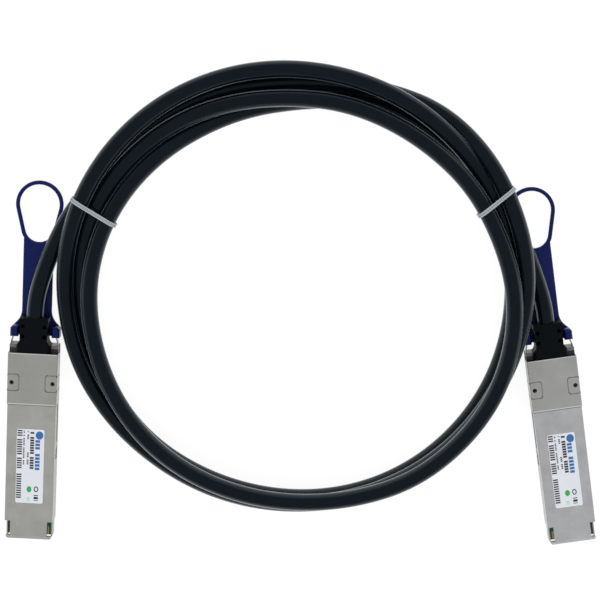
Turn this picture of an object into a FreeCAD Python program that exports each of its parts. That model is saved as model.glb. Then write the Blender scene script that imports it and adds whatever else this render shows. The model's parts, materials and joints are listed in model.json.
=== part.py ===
import FreeCAD, Part
import math
import os

from FreeCAD import Placement, Rotation, Vector

# A passive copper cable with a four-lane pluggable connector at each end. The cable is wound
# into a flat ring of three and a half turns, held by two narrow ties. Millimetres, +Z up, with
# the table at Z = 0. The origin is under the middle of the two connectors' common box.
#
# Each connector is built in a frame of its own: X across, Y from the nose to the cable, and Z up
# from the face that lies on the table. Its latch pulls along +Y.

# ---- connector envelope ----
PLUG_WIDTH = 18.35
PLUG_HEIGHT = 8.5
LID_LENGTH = 72.4
BASE_TAIL = 2.9             # how far the base runs on behind the lid
PARTING_Z = 6.0             # where the base ends and the lid begins
FLOOR = 1.2
CAVITY_HALF = 7.2
CAVITY_TOP = 7.5            # under the front of the lid
SEAT_TOP = 7.85             # under the rear of the lid, where the boot is clamped
SEAT_LENGTH = 10.4          # of that rear part
REAR_WALL = 4.0
EDGE_ROUND = 0.35
OVERCUT = 1.0               # how far a cutter runs on past the faces it cuts

# ---- nose ----
NOTCH_LENGTH = 7.0          # from the front of the nose to the rear of each notch
TONGUE_HALF = 6.975         # half-width of the lid's tongue between the notches
NOSE_BAR = 1.2              # the tongue's crossbar, in front of the notches
NOSE_BAR_HALF = 8.65
NOSE_BAR_DROP = 0.5         # how far its top slopes down to the front
NOSE_TAPER = 0.4            # how much narrower the lower jaw is than the housing, a side
NOSE_WALL = 0.5             # thin walls of the lower jaw beside the card
NOSE_WALL_TOP = 5.4
JAW_HEIGHT = 1.6            # thickness of each jaw, above and below the card
BULKHEAD = 2.0
LIP_THICKNESS = 0.6         # of the lid's locating lip
NOSE_BEVEL = 0.6            # of the corners in plan

# ---- circuit card ----
CARD_WIDTH = 16.42
CARD_THICKNESS = 1.0
CARD_Z = 3.75               # underside
CARD_SETBACK = 0.9          # from the front of the nose
CARD_NECK_HALF = 6.9
CARD_END = 22.0
CARD_BEVEL = 0.25
POST_GAP = 2.0              # from the bulkhead to the posts under the card
POST_LENGTH = 2.0
PAD_COUNT = 19
PAD_PITCH = 0.8
PAD_WIDTH = 0.54
PAD_LENGTH = 2.9
PAD_THICKNESS = 0.035
PAD_SETBACK = 0.45          # from the card's front edge

# ---- cable and its pairs ----
CABLE_DIAMETER = 6.4
CABLE_Z = 5.0               # height of the cable's axis where it leaves the connector
PAIR_WIDTH = 1.7
PAIR_HEIGHT = 0.9
PAIR_COLUMN = 0.9           # half the distance between the two columns at the ferrule
PAIR_ROW_PITCH = 1.0
PAIR_SPREAD = 3.0           # distance between pairs where they are soldered
PAIRS_PER_FACE = 4
PAIR_START = 19.8
PAIR_CLIMB = 10.0           # length over which each pair leaves the card's face
PAIR_GATHERED = 4.0         # the pairs lie together this far before the ferrule
MOULD_START = 18.6
MOULD_END = 26.0
MOULD_HALF = 6.5
MOULD_TOP = 7.0
FERRULE_WALL = 0.3
FERRULE_BORE = 2.9          # radius over its corners
FERRULE_LENGTH = 8.5
FERRULE_SETBACK = 1.9       # from the lid's rear edge

# ---- boot, from the lid's rear edge ----
BOOT_HALF = 5.15
BOOT_FLARE_HALF = 6.4
BOOT_FLARE_START = 3.0
BOOT_FLARE_MIDDLE = 4.0
BOOT_FLARE_MIDDLE_HALF = 5.45
BOOT_FLARE_END = 5.0
BOOT_COLLAR_HALF = 5.45
BOOT_COLLAR_START = 11.5
BOOT_COLLAR_STEP = 0.3
BOOT_LENGTH = 13.3
BOOT_HEIGHT = 7.0
BOOT_ROUND = 1.3
BOOT_LIP_HALF = 7.05        # lip held inside the housing
BOOT_LIP_LENGTH = 1.5
BOOT_GAP = 0.1              # between the boot and its opening, a side
WINDOW_ROWS = (6.4, 10.2)
WINDOW_LENGTH = 1.4
WINDOW_WIDTH = 1.3
WINDOW_WALL = 0.15          # between the cable and each window

# ---- rear collar ----
COLLAR_LENGTH = 19.7
COLLAR_SHEET = 0.2
COLLAR_SKIRT_Z = 1.4
COLLAR_RAMP = 0.5
TONGUE_SETBACK = 11.3       # its middle, from the lid's rear edge
TONGUE_LENGTH = 6.0
TONGUE_WIDTH = 4.3
TONGUE_CORNER = 1.2
TONGUE_SLIT = 0.25
PIN_RADIUS = 0.625
PIN_X = 7.7
PIN_BOTTOM = 0.6
PIN_SINK = 0.8              # below the collar's face
BOSS_HALF_LENGTH = 1.7
BOSS_INNER = 6.2

# ---- latch: grooves in the base, the slider and its springs ----
GROOVE_DEPTH = 0.65
GROOVE_LOW = 2.2
GROOVE_HIGH = 5.1
POCKET_START = 30.9
POCKET_LENGTH = 5.3
POCKET_DEPTH = 1.3
POCKET_MARGIN = 0.3
LATCH_TRAVEL = 3.0
SLIDER_SHEET = 0.4
SLIDER_GAP = 0.05
SLIDER_SIDE_GAP = 0.15
SLIDER_TIP = 34.5
SLIDER_RAMP = 2.5
SLIDER_RAMP_RISE = 0.15
SLIDER_JOG_START = 3.6      # from the lid's rear edge
SLIDER_JOG_END = 5.4
SLIDER_JOG = 0.57
SLIDER_END = 8.4
STRAP_LOW = 0.45
STRAP_WIDTH = 2.0
TANG_SETBACK = 25.4         # from the lid's rear edge
TANG_REACH = 6.0
TANG_LOW = 3.2
TANG_HIGH = 4.4
SPRING_RADIUS = 0.65
SPRING_WIRE_WIDTH = 0.22    # square wire
SPRING_TURNS = 3
SPRING_STEPS = 6            # flats round one turn
SPRING_LENGTH = 6.4
SPRING_X = 6.4
SPRING_GAP = 0.1
SEAT_THICKNESS = 1.2
RUNNING_GAP = 0.3

# ---- pull tab, from the lid's rear edge ----
TAB_LOW = 0.1
TAB_THICKNESS = 1.1
TAB_START = 5.6
TAB_HALF = 9.25
TAB_SHOULDER = 8.85
TAB_FLARE_HALF = 7.6
TAB_FLARE_RADIUS = 6.8
RING_CENTRE = 55.5
RING_RADIUS = 8.875
RING_FOOT_CENTRE = 46.5
RING_FOOT_RADIUS = 6.75
RING_BAND = 1.45
BLOCK_WIDTH = 2.95
BLOCK_CORNER = 0.85
BLOCK_HEIGHT = 5.3
BLOCK_LENGTH = 4.1
BLOCK_BEVEL = 0.5
TAB_BEVEL = 0.3
FLARE_BEND = 45             # degrees turned by the curve from the shoulder to the strap

# ---- label ----
LABEL_START = 14.3
LABEL_LENGTH = 28.9
LABEL_WIDTH = 10.4
LABEL_THICKNESS = 0.08
LABEL_CORNER = 0.4

# ---- coil: outline of the bundle at stations round it ----
COIL_X = -1.75
COIL_Y = 29.05
COIL_STATIONS = (           # degrees, inner radius, outer radius, underside, top
    (0, 76.3, 89.8, 1.7, 17.6), (28, 74.2, 89.9, 1.7, 16.8), (58, 69.2, 89.0, 0, 13.4),
    (90, 66.3, 85.6, 0, 12.8), (122, 66.9, 88.0, 0, 13.0), (155, 71.0, 89.7, 1.3, 14.2),
    (180, 74.2, 90.0, 0, 13.0), (210, 74.6, 88.2, 0, 15.6), (240, 75.3, 85.8, 0, 18.4),
    (270, 75.9, 85.2, 0, 19.0), (300, 77.0, 87.6, 0, 18.9), (330, 77.2, 88.0, 0, 18.4),
)
COIL_CORNER = 2.4
COIL_SECTIONS = 20

# ---- tails: points of the cable's centre line, boot to coil ----
TAIL_A = ((-99.70, 18.53, 5.0), (-99.05, 31.05, 5.0), (-92.25, 47.45, 5.0), (-81.55, 65.05, 4.6))
TAIL_B = ((92.21, 16.47, 5.0), (90.55, 28.15, 5.0), (83.95, 46.25, 5.2), (78.75, 56.65, 5.35))
TAIL_FLATS = 12
ARC_SHARE = 0.45

# ---- ties ----
TIE_WIDTH = 1.9
TIE_THICKNESS = 1.1
TIE_HEAD = (4.4, 3.4, 3.2)  # along the bundle, across it, high
TIES = {                    # the head is tucked under the bundle's outer or inner edge
    "left": {"angle": 158.0, "skew": -10.5, "side": "inner"},
    "right": {"angle": 24.8, "skew": 14.0, "side": "outer"},
}

# ---- where the connectors lie ----
REAR_A_X = -100.4            # middle of each lid's rear edge
REAR_A_Y = 5.25
REAR_B_X = 94.1
REAR_B_Y = 3.3
YAW_A = -3.0
YAW_B = 8.15


def block(x0, x1, y0, y1, z0, z1):
    return Part.makeBox(x1 - x0, y1 - y0, z1 - z0, Vector(x0, y0, z0))


def mirrored(shape):
    return shape.mirror(Vector(0, 0, 0), Vector(1, 0, 0))


def both_sides(shape):
    return shape.fuse(mirrored(shape))


def rod(radius, length, start, direction):
    return Part.makeCylinder(radius, length, start, direction)


def behind_lid(distance):
    return LID_LENGTH + distance


def prism(edges_or_points, z0, z1):
    """Extrude a closed plan outline from z0 to z1."""
    if isinstance(edges_or_points[0], Vector):
        closed = edges_or_points + [edges_or_points[0]]
        wire = Part.makePolygon(closed)
    else:
        wire = Part.Wire(Part.__sortEdges__([e.toShape() for e in edges_or_points]))
    wire.translate(Vector(0, 0, z0 - wire.BoundBox.ZMin))
    return Part.Face(wire).extrude(Vector(0, 0, z1 - z0))


def edges_along(shape, axis, test):
    """The straight edges parallel to an axis whose middle passes a test."""
    found = []
    for edge in shape.Edges:
        ends = [v.Point for v in edge.Vertexes]
        if len(ends) != 2 or not isinstance(edge.Curve, (Part.Line, Part.LineSegment)):
            continue
        run = ends[1] - ends[0]
        if run.Length > 0 and abs(run.normalize().dot(axis)) > 0.999:
            middle = (ends[0] + ends[1]) * 0.5
            if test(middle):
                found.append(edge)
    return found


PLUGS = {
    "a": {"rear": Vector(REAR_A_X, REAR_A_Y, 0), "yaw": YAW_A},
    "b": {"rear": Vector(REAR_B_X, REAR_B_Y, 0), "yaw": YAW_B},
}
COIL_CENTRE = Vector(COIL_X, COIL_Y, 0)
HALF = PLUG_WIDTH / 2
ALONG = Vector(0, 1, 0)
UP = Vector(0, 0, 1)
ACROSS = Vector(1, 0, 0)
BASE_LENGTH = LID_LENGTH + BASE_TAIL
CAVITY_END = LID_LENGTH - REAR_WALL
SEAT_START = CAVITY_END - SEAT_LENGTH
COLLAR_START = LID_LENGTH - COLLAR_LENGTH
TONGUE_Y = LID_LENGTH - TONGUE_SETBACK
FERRULE_END = LID_LENGTH - FERRULE_SETBACK
FERRULE_START = FERRULE_END - FERRULE_LENGTH
CARD_TOP = CARD_Z + CARD_THICKNESS
CARD_HALF = CARD_WIDTH / 2
BULKHEAD_END = NOTCH_LENGTH + BULKHEAD
GROOVE_FLOOR = HALF - GROOVE_DEPTH
BOOT_OPENING_HALF = BOOT_FLARE_HALF + BOOT_GAP
CABLE_RADIUS = CABLE_DIAMETER / 2
TANG_Y = LID_LENGTH - TANG_SETBACK
ARM_INNER = GROOVE_FLOOR + SLIDER_GAP
ARM_OUTER = ARM_INNER + SLIDER_SHEET
ARM_LOW = GROOVE_LOW + SLIDER_SIDE_GAP
ARM_HIGH = GROOVE_HIGH - SLIDER_SIDE_GAP
SPRING_Z = (TANG_LOW + TANG_HIGH) / 2
SPRING_START = TANG_Y + SLIDER_SHEET + SPRING_GAP
SEAT_Y = SPRING_START + SPRING_LENGTH + SPRING_GAP
COLLAR_TOP = PLUG_HEIGHT + COLLAR_SHEET
TAB_TOP = TAB_LOW + TAB_THICKNESS
FERRULE_RADIUS = FERRULE_BORE + FERRULE_WALL


def base_shell():
    """Die-cast lower half: floor, side walls with latch grooves, lower jaw and rear ears."""
    shell = block(-HALF, HALF, 0, BASE_LENGTH, 0, PARTING_Z)
    shell = shell.makeChamfer(EDGE_ROUND, edges_along(shell, ALONG, lambda m: m.z < EDGE_ROUND))
    jaw_half = HALF - NOSE_TAPER
    side = prism([Vector(jaw_half - NOSE_BEVEL, 0, 0), Vector(HALF, 0, 0), Vector(HALF, NOTCH_LENGTH, 0),
                  Vector(jaw_half, NOTCH_LENGTH - NOSE_TAPER, 0), Vector(jaw_half, NOSE_BEVEL, 0)],
                 0, PARTING_Z)
    shell = shell.cut(both_sides(side))
    # The open nose, the card's seat in the bulkhead, the main cavity and the boot's opening.
    mouth_half = jaw_half - NOSE_WALL
    shell = shell.cut(block(-mouth_half, mouth_half, 0, NOTCH_LENGTH, JAW_HEIGHT, PARTING_Z))
    shell = shell.cut(block(-HALF, HALF, 0, NOTCH_LENGTH, NOSE_WALL_TOP, PARTING_Z))
    shell = shell.cut(block(-CARD_HALF - SLIDER_GAP, CARD_HALF + SLIDER_GAP,
                            NOTCH_LENGTH, BULKHEAD_END, CARD_Z, PARTING_Z))
    shell = shell.cut(block(-CAVITY_HALF, CAVITY_HALF, BULKHEAD_END, CAVITY_END, FLOOR, PARTING_Z))
    shell = shell.cut(block(-BOOT_OPENING_HALF, BOOT_OPENING_HALF,
                            CAVITY_END, BASE_LENGTH, FLOOR, PARTING_Z))
    # Bosses for the pins, posts under the card and seats for the return springs.
    boss = block(BOSS_INNER, CAVITY_HALF, TONGUE_Y - BOSS_HALF_LENGTH, TONGUE_Y + BOSS_HALF_LENGTH,
                 FLOOR, PARTING_Z)
    post_y = BULKHEAD_END + POST_GAP
    post = block(CARD_NECK_HALF - POST_LENGTH, CAVITY_HALF, post_y, post_y + POST_LENGTH, FLOOR, CARD_Z)
    seat = block(TANG_REACH - SPRING_GAP, CAVITY_HALF, SEAT_Y, SEAT_Y + SEAT_THICKNESS,
                 FLOOR, GROOVE_HIGH)
    for piece in (boss, post, seat):
        shell = shell.fuse(both_sides(piece))
    # Side grooves for the slider, the deeper latch pockets, and the slots that the tangs pass.
    groove = block(GROOVE_FLOOR, HALF, POCKET_START, BASE_LENGTH, GROOVE_LOW, GROOVE_HIGH)
    pocket = block(HALF - POCKET_DEPTH, HALF, POCKET_START, POCKET_START + POCKET_LENGTH,
                   GROOVE_LOW - POCKET_MARGIN, GROOVE_HIGH + POCKET_MARGIN)
    slot = block(CAVITY_HALF, GROOVE_FLOOR, TANG_Y - RUNNING_GAP,
                 TANG_Y + SLIDER_SHEET + LATCH_TRAVEL + RUNNING_GAP,
                 TANG_LOW - SLIDER_SIDE_GAP, TANG_HIGH + SLIDER_SIDE_GAP)
    hole = rod(PIN_RADIUS, PARTING_Z, Vector(PIN_X, TONGUE_Y, PIN_BOTTOM), UP)
    for tool in (groove, pocket, slot, hole):
        shell = shell.cut(both_sides(tool))
    return shell.removeSplitter()


def lid():
    """Die-cast upper half: label face, upper jaw between the nose notches, and its locating lip."""
    cover = block(-HALF, HALF, NOTCH_LENGTH, LID_LENGTH, PARTING_Z, PLUG_HEIGHT)
    cover = cover.makeFillet(EDGE_ROUND, edges_along(
        cover, ALONG, lambda m: m.z > PLUG_HEIGHT - EDGE_ROUND))
    right = [Vector(NOSE_BAR_HALF - NOSE_BEVEL, 0, 0), Vector(NOSE_BAR_HALF, NOSE_BEVEL, 0),
             Vector(NOSE_BAR_HALF, NOSE_BAR, 0), Vector(TONGUE_HALF, NOSE_BAR, 0),
             Vector(TONGUE_HALF, NOTCH_LENGTH, 0)]
    jaw = prism(right + [Vector(-p.x, p.y, 0) for p in reversed(right)],
                PLUG_HEIGHT - JAW_HEIGHT, PLUG_HEIGHT)
    slope = Part.Face(Part.makePolygon([
        Vector(-HALF, NOSE_BAR, PLUG_HEIGHT), Vector(-HALF, 0, PLUG_HEIGHT - NOSE_BAR_DROP),
        Vector(-HALF, 0, PLUG_HEIGHT), Vector(-HALF, NOSE_BAR, PLUG_HEIGHT)])).extrude(ACROSS * PLUG_WIDTH)
    cover = cover.fuse(jaw.cut(slope)).removeSplitter()
    # The bulkhead half that clamps the card, and the lip that drops inside the base.
    clamp = block(-CARD_HALF, CARD_HALF, NOTCH_LENGTH, BULKHEAD_END, CARD_TOP, PARTING_Z)
    cover = cover.fuse(clamp)
    lip_outer = CAVITY_HALF - SLIDER_GAP
    lip_drop = PARTING_Z - GROOVE_HIGH - SLIDER_SIDE_GAP
    lip = block(lip_outer - LIP_THICKNESS, lip_outer, BULKHEAD_END, TANG_Y,
                PARTING_Z - lip_drop, PARTING_Z)
    cavity = block(-CAVITY_HALF, CAVITY_HALF, BULKHEAD_END, SEAT_START, PARTING_Z, CAVITY_TOP)
    rear = block(-CAVITY_HALF, CAVITY_HALF, SEAT_START, CAVITY_END, PARTING_Z, SEAT_TOP)
    mouth = block(-BOOT_OPENING_HALF, BOOT_OPENING_HALF, CAVITY_END, LID_LENGTH, PARTING_Z, SEAT_TOP)
    cover = cover.cut(cavity).cut(rear).cut(mouth)
    stem = block(lip_outer - LIP_THICKNESS, CAVITY_HALF, BULKHEAD_END, TANG_Y, PARTING_Z, CAVITY_TOP)
    boss = block(BOSS_INNER, CAVITY_HALF, TONGUE_Y - BOSS_HALF_LENGTH, TONGUE_Y + BOSS_HALF_LENGTH,
                 PARTING_Z, SEAT_TOP)
    for piece in (lip, stem, boss):
        cover = cover.fuse(both_sides(piece))
    hole = rod(PIN_RADIUS, PLUG_HEIGHT, Vector(PIN_X, TONGUE_Y, PARTING_Z), UP)
    return cover.cut(both_sides(hole)).removeSplitter()


def tongue_outline(grow, z0, z1):
    """One riveted tongue of the collar, open at the side, grown all round by a margin."""
    inner = HALF + COLLAR_SHEET - TONGUE_WIDTH - grow
    half_length = TONGUE_LENGTH / 2 + grow
    tongue = block(inner, HALF + OVERCUT, TONGUE_Y - half_length, TONGUE_Y + half_length, z0, z1)
    corners = edges_along(tongue, UP, lambda m: m.x < inner + grow + TONGUE_SLIT / 2)
    return tongue.makeFillet(TONGUE_CORNER + grow, corners)


def rear_collar():
    """Stamped sheet that wraps the rear of the housing, with a slit tongue over each pin."""
    outer = HALF + COLLAR_SHEET
    sheet = block(-outer, outer, COLLAR_START, LID_LENGTH, COLLAR_SKIRT_Z, COLLAR_TOP)
    bends = edges_along(sheet, ALONG, lambda m: m.z > PLUG_HEIGHT)
    sheet = sheet.makeFillet(EDGE_ROUND, bends)
    sheet = sheet.cut(block(-HALF, HALF, COLLAR_START, LID_LENGTH, 0, PLUG_HEIGHT))
    ramp = Part.Face(Part.makePolygon([
        Vector(-outer, COLLAR_START, COLLAR_TOP), Vector(-outer, COLLAR_START + COLLAR_RAMP, COLLAR_TOP),
        Vector(-outer, COLLAR_START, PLUG_HEIGHT + COLLAR_SHEET / 4),
        Vector(-outer, COLLAR_START, COLLAR_TOP)])).extrude(ACROSS * (2 * outer))
    sheet = sheet.cut(ramp)
    z0, z1 = PLUG_HEIGHT, COLLAR_TOP + OVERCUT
    slit = tongue_outline(TONGUE_SLIT, z0, z1).cut(tongue_outline(0, z0, z1))
    hole = rod(PIN_RADIUS, COLLAR_TOP, Vector(PIN_X, TONGUE_Y, PARTING_Z), UP)
    return sheet.cut(both_sides(slit)).cut(both_sides(hole)).removeSplitter()


def housing_pins():
    """Two pins that hold base, lid and collar together, sunk below the collar's face."""
    pin = rod(PIN_RADIUS, COLLAR_TOP - PIN_SINK - PIN_BOTTOM, Vector(PIN_X, TONGUE_Y, PIN_BOTTOM), UP)
    return Part.makeCompound([pin, mirrored(pin)])


def latch_slider():
    """One strip of spring steel bent to a U: two arms in the grooves, joined under the tab."""
    jog_start, jog_end = LID_LENGTH + SLIDER_JOG_START, LID_LENGTH + SLIDER_JOG_END
    end = LID_LENGTH + SLIDER_END
    arm = prism([
        Vector(ARM_INNER, SLIDER_TIP, 0), Vector(ARM_OUTER, SLIDER_TIP, 0),
        Vector(ARM_OUTER + SLIDER_RAMP_RISE, SLIDER_TIP + SLIDER_RAMP, 0),
        Vector(ARM_OUTER, SLIDER_TIP + SLIDER_RAMP + SLIDER_SHEET, 0),
        Vector(ARM_OUTER, jog_start, 0), Vector(ARM_OUTER - SLIDER_JOG, jog_end, 0),
        Vector(ARM_OUTER - SLIDER_JOG, end, 0), Vector(ARM_INNER - SLIDER_JOG, end, 0),
        Vector(ARM_INNER - SLIDER_JOG, jog_end, 0), Vector(ARM_INNER, jog_start, 0),
    ], ARM_LOW, ARM_HIGH)
    tip = edges_along(arm, ACROSS, lambda m: m.y < SLIDER_TIP + SLIDER_GAP)
    arm = arm.makeChamfer(SLIDER_SHEET, tip)
    tang = block(TANG_REACH, ARM_OUTER, TANG_Y, TANG_Y + SLIDER_SHEET, TANG_LOW, TANG_HIGH)
    leg_outer = ARM_OUTER - SLIDER_JOG
    leg = block(leg_outer - SLIDER_SHEET, leg_outer, end - STRAP_WIDTH, end, STRAP_LOW, ARM_HIGH)
    strap = block(0, leg_outer, end - STRAP_WIDTH, end, STRAP_LOW, STRAP_LOW + SLIDER_SHEET)
    half = arm.fuse(tang).fuse(leg).fuse(strap)
    return both_sides(half).removeSplitter()


def return_spring(side):
    """Compression spring between the slider's tang and its seat, side -1 or +1."""
    rise = (SPRING_LENGTH - SPRING_WIRE_WIDTH) / (SPRING_TURNS * SPRING_STEPS)
    half = SPRING_WIRE_WIDTH / 2
    sections = []
    for step in range(SPRING_TURNS * SPRING_STEPS + 1):
        turn = 2 * math.pi * step / SPRING_STEPS
        out = Vector(math.cos(turn), 0, math.sin(turn))
        sections.append(Part.makePolygon([
            out * (SPRING_RADIUS + dr * half) + ALONG * (step * rise + dy * half)
            for dr, dy in ((-1, -1), (1, -1), (1, 1), (-1, 1), (-1, -1))]))
    spring = Part.makeLoft(sections, True, True)
    spring.translate(Vector(side * SPRING_X, SPRING_START + SPRING_WIRE_WIDTH / 2, SPRING_Z))
    return spring


def tangent_hull(near_y, near_radius, far_y, far_radius, z0, z1):
    """Two circles on the Y axis and the two straight lines that touch both."""
    lean = math.asin((far_radius - near_radius) / (far_y - near_y))
    cos, sin = math.cos(lean), math.sin(lean)
    near = Vector(near_radius * cos, near_y - near_radius * sin, 0)
    far = Vector(far_radius * cos, far_y - far_radius * sin, 0)
    left_near, left_far = Vector(-near.x, near.y, 0), Vector(-far.x, far.y, 0)
    return prism([
        Part.LineSegment(near, far),
        Part.Arc(far, Vector(0, far_y + far_radius, 0), left_far),
        Part.LineSegment(left_far, left_near),
        Part.Arc(left_near, Vector(0, near_y - near_radius, 0), near),
    ], z0, z1)


def pull_tab():
    """Moulded tab: two corner blocks over the slider, a flat strap and a finger ring."""
    flare_end = TAB_SHOULDER + TAB_HALF - TAB_FLARE_HALF
    bend = math.radians(FLARE_BEND)
    flare_start = flare_end + TAB_FLARE_RADIUS * math.sin(bend)
    strap_half = TAB_FLARE_HALF - TAB_FLARE_RADIUS * (1 - math.cos(bend))
    middle = Vector(strap_half + TAB_FLARE_RADIUS * (1 - math.cos(bend / 2)),
                    behind_lid(flare_start - TAB_FLARE_RADIUS * math.sin(bend / 2)), 0)
    right = [Vector(x, behind_lid(distance), 0) for x, distance in (
        (TAB_HALF, TAB_START), (TAB_HALF, TAB_SHOULDER), (TAB_FLARE_HALF, flare_end),
        (strap_half, flare_start), (strap_half, RING_FOOT_CENTRE))]
    left = [Vector(-p.x, p.y, 0) for p in right]
    mirrored_middle = Vector(-middle.x, middle.y, 0)
    outline = [
        Part.LineSegment(left[0], right[0]), Part.LineSegment(right[0], right[1]),
        Part.LineSegment(right[1], right[2]), Part.Arc(right[2], middle, right[3]),
        Part.LineSegment(right[3], right[4]), Part.LineSegment(right[4], left[4]),
        Part.LineSegment(left[4], left[3]), Part.Arc(left[3], mirrored_middle, left[2]),
        Part.LineSegment(left[2], left[1]), Part.LineSegment(left[1], left[0]),
    ]
    plate = prism(outline, TAB_LOW, TAB_TOP)
    foot, centre = behind_lid(RING_FOOT_CENTRE), behind_lid(RING_CENTRE)
    ring = tangent_hull(foot, RING_FOOT_RADIUS, centre, RING_RADIUS, TAB_LOW, TAB_TOP)
    loop = tangent_hull(foot, RING_FOOT_RADIUS - RING_BAND, centre, RING_RADIUS - RING_BAND,
                        TAB_LOW, TAB_TOP)
    block_start, block_end = behind_lid(TAB_START), behind_lid(TAB_START + BLOCK_LENGTH)
    corner_block = prism([Vector(x, y, 0) for x, y in (
        (TAB_HALF - BLOCK_WIDTH, block_start), (TAB_HALF, block_start),
        (TAB_HALF, block_end - BLOCK_CORNER), (TAB_HALF - BLOCK_CORNER, block_end),
        (TAB_HALF - BLOCK_WIDTH, block_end))], TAB_LOW, BLOCK_HEIGHT)
    crown = [e for e in corner_block.Edges if e.BoundBox.ZMin > BLOCK_HEIGHT - TAB_BEVEL]
    corner_block = corner_block.makeChamfer(BLOCK_BEVEL, crown)
    tab = plate.fuse(ring).removeSplitter().cut(loop)
    strap_start = behind_lid(flare_start) - TAB_BEVEL
    rims = [e for e in tab.Edges
            if e.BoundBox.ZMin > TAB_TOP - TAB_BEVEL and e.BoundBox.YMin > strap_start]
    tab = tab.makeChamfer(TAB_BEVEL, rims)
    return tab.fuse(both_sides(corner_block)).cut(latch_slider()).removeSplitter()


def paddle_card():
    """Circuit card: a wide edge for the host's socket and a narrow neck inside the housing."""
    front = block(-CARD_HALF, CARD_HALF, CARD_SETBACK, BULKHEAD_END, CARD_Z, CARD_TOP)
    neck = block(-CARD_NECK_HALF, CARD_NECK_HALF, BULKHEAD_END, CARD_END, CARD_Z, CARD_TOP)
    card = front.fuse(neck).removeSplitter()
    leading = edges_along(card, ACROSS, lambda m: m.y < CARD_SETBACK + CARD_BEVEL)
    return card.makeChamfer(CARD_BEVEL, leading)


def contact_pads():
    """Gold fingers on both faces of the card."""
    pads = []
    start = CARD_SETBACK + PAD_SETBACK
    first = -PAD_PITCH * (PAD_COUNT - 1) / 2
    for index in range(PAD_COUNT):
        x = first + index * PAD_PITCH
        for z in (CARD_TOP, CARD_Z - PAD_THICKNESS):
            pads.append(block(x - PAD_WIDTH / 2, x + PAD_WIDTH / 2, start, start + PAD_LENGTH,
                              z, z + PAD_THICKNESS))
    return Part.makeCompound(pads)


def pair_section(x, y, z):
    """Six-sided flat oval of one shielded pair, square to the Y axis."""
    half, rise = PAIR_WIDTH / 2, PAIR_HEIGHT / 2
    reach = half - rise
    return Part.makePolygon([Vector(x + dx, y, z + dz) for dx, dz in (
        (-reach, -rise), (reach, -rise), (half, 0), (reach, rise), (-reach, rise), (-half, 0),
        (-reach, -rise))])


def twinax_pair(index):
    """One of eight shielded pairs: four on each face of the card, gathered into the ferrule."""
    upper = 1 if index < PAIRS_PER_FACE else -1
    lane = index % PAIRS_PER_FACE - (PAIRS_PER_FACE - 1) / 2
    side = math.copysign(1, lane)
    x0 = lane * PAIR_SPREAD
    z0 = (CARD_TOP if upper > 0 else CARD_Z) + upper * PAIR_HEIGHT / 2
    x1 = side * PAIR_COLUMN
    z1 = CABLE_Z + upper * PAIR_ROW_PITCH * abs(lane)
    stations = [(x0, PAIR_START, z0), (x0, MOULD_END, z0), (x0, MOULD_END + PAIR_CLIMB, z1),
                (x1, FERRULE_START - PAIR_GATHERED, z1), (x1, LID_LENGTH, z1)]
    return Part.makeLoft([pair_section(*station) for station in stations], True, True)


def solder_mould():
    """Hot-melt block over the solder joints, moulded round the card's end and the pairs."""
    mould = block(-MOULD_HALF, MOULD_HALF, MOULD_START, MOULD_END, FLOOR, MOULD_TOP)
    mould = mould.cut(block(-CARD_NECK_HALF, CARD_NECK_HALF, MOULD_START, CARD_END, CARD_Z, CARD_TOP))
    for index in range(2 * PAIRS_PER_FACE):
        mould = mould.cut(twinax_pair(index))
    return mould


def hexagon(radius, start, length):
    """Six-sided bar along Y, its flats up and down, measured over its corners."""
    corners = [Vector(radius * math.cos(math.radians(60 * n)), start,
                      CABLE_Z + radius * math.sin(math.radians(60 * n))) for n in range(7)]
    return Part.Face(Part.makePolygon(corners)).extrude(ALONG * length)


def crimp_ferrule():
    """Metal ring crimped six-sided over the braid, half inside the boot's neck."""
    return hexagon(FERRULE_RADIUS, FERRULE_START, FERRULE_LENGTH).cut(
        hexagon(FERRULE_BORE, FERRULE_START, FERRULE_LENGTH))


def boot():
    """Moulded strain relief with two rows of flex windows, clamped in the housing by its lip."""
    half = [(BOOT_FLARE_HALF, 0), (BOOT_FLARE_HALF, BOOT_FLARE_START),
            (BOOT_FLARE_MIDDLE_HALF, BOOT_FLARE_MIDDLE), (BOOT_HALF, BOOT_FLARE_END),
            (BOOT_HALF, BOOT_COLLAR_START), (BOOT_COLLAR_HALF, BOOT_COLLAR_START + BOOT_COLLAR_STEP),
            (BOOT_COLLAR_HALF, BOOT_LENGTH)]
    points = [Vector(x, behind_lid(d), 0) for x, d in half]
    points += [Vector(-p.x, p.y, 0) for p in reversed(points)]
    low = CABLE_Z - BOOT_HEIGHT / 2
    plan = prism(points, low, low + BOOT_HEIGHT)
    section = block(-BOOT_FLARE_HALF, BOOT_FLARE_HALF, behind_lid(0), behind_lid(BOOT_LENGTH),
                    low, low + BOOT_HEIGHT)
    section = section.makeFillet(BOOT_ROUND, edges_along(section, ALONG, lambda m: True))
    body = plan.common(section)
    neck = block(-BOOT_FLARE_HALF, BOOT_FLARE_HALF, CAVITY_END, behind_lid(0), FLOOR, SEAT_TOP)
    lip = block(-BOOT_LIP_HALF, BOOT_LIP_HALF, CAVITY_END - BOOT_LIP_LENGTH, CAVITY_END,
                FLOOR, SEAT_TOP)
    body = body.fuse(neck).fuse(lip)
    body = body.cut(hexagon(FERRULE_RADIUS, lip.BoundBox.YMin, LID_LENGTH - lip.BoundBox.YMin))
    body = body.cut(rod(CABLE_RADIUS, BOOT_LENGTH, Vector(0, behind_lid(0), CABLE_Z), ALONG))
    inner = CABLE_RADIUS + WINDOW_WALL
    for row in WINDOW_ROWS:
        window = block(inner, inner + WINDOW_WIDTH, behind_lid(row - WINDOW_LENGTH / 2),
                       behind_lid(row + WINDOW_LENGTH / 2), 0, PLUG_HEIGHT + OVERCUT)
        body = body.cut(both_sides(window))
    return body.removeSplitter()


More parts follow.
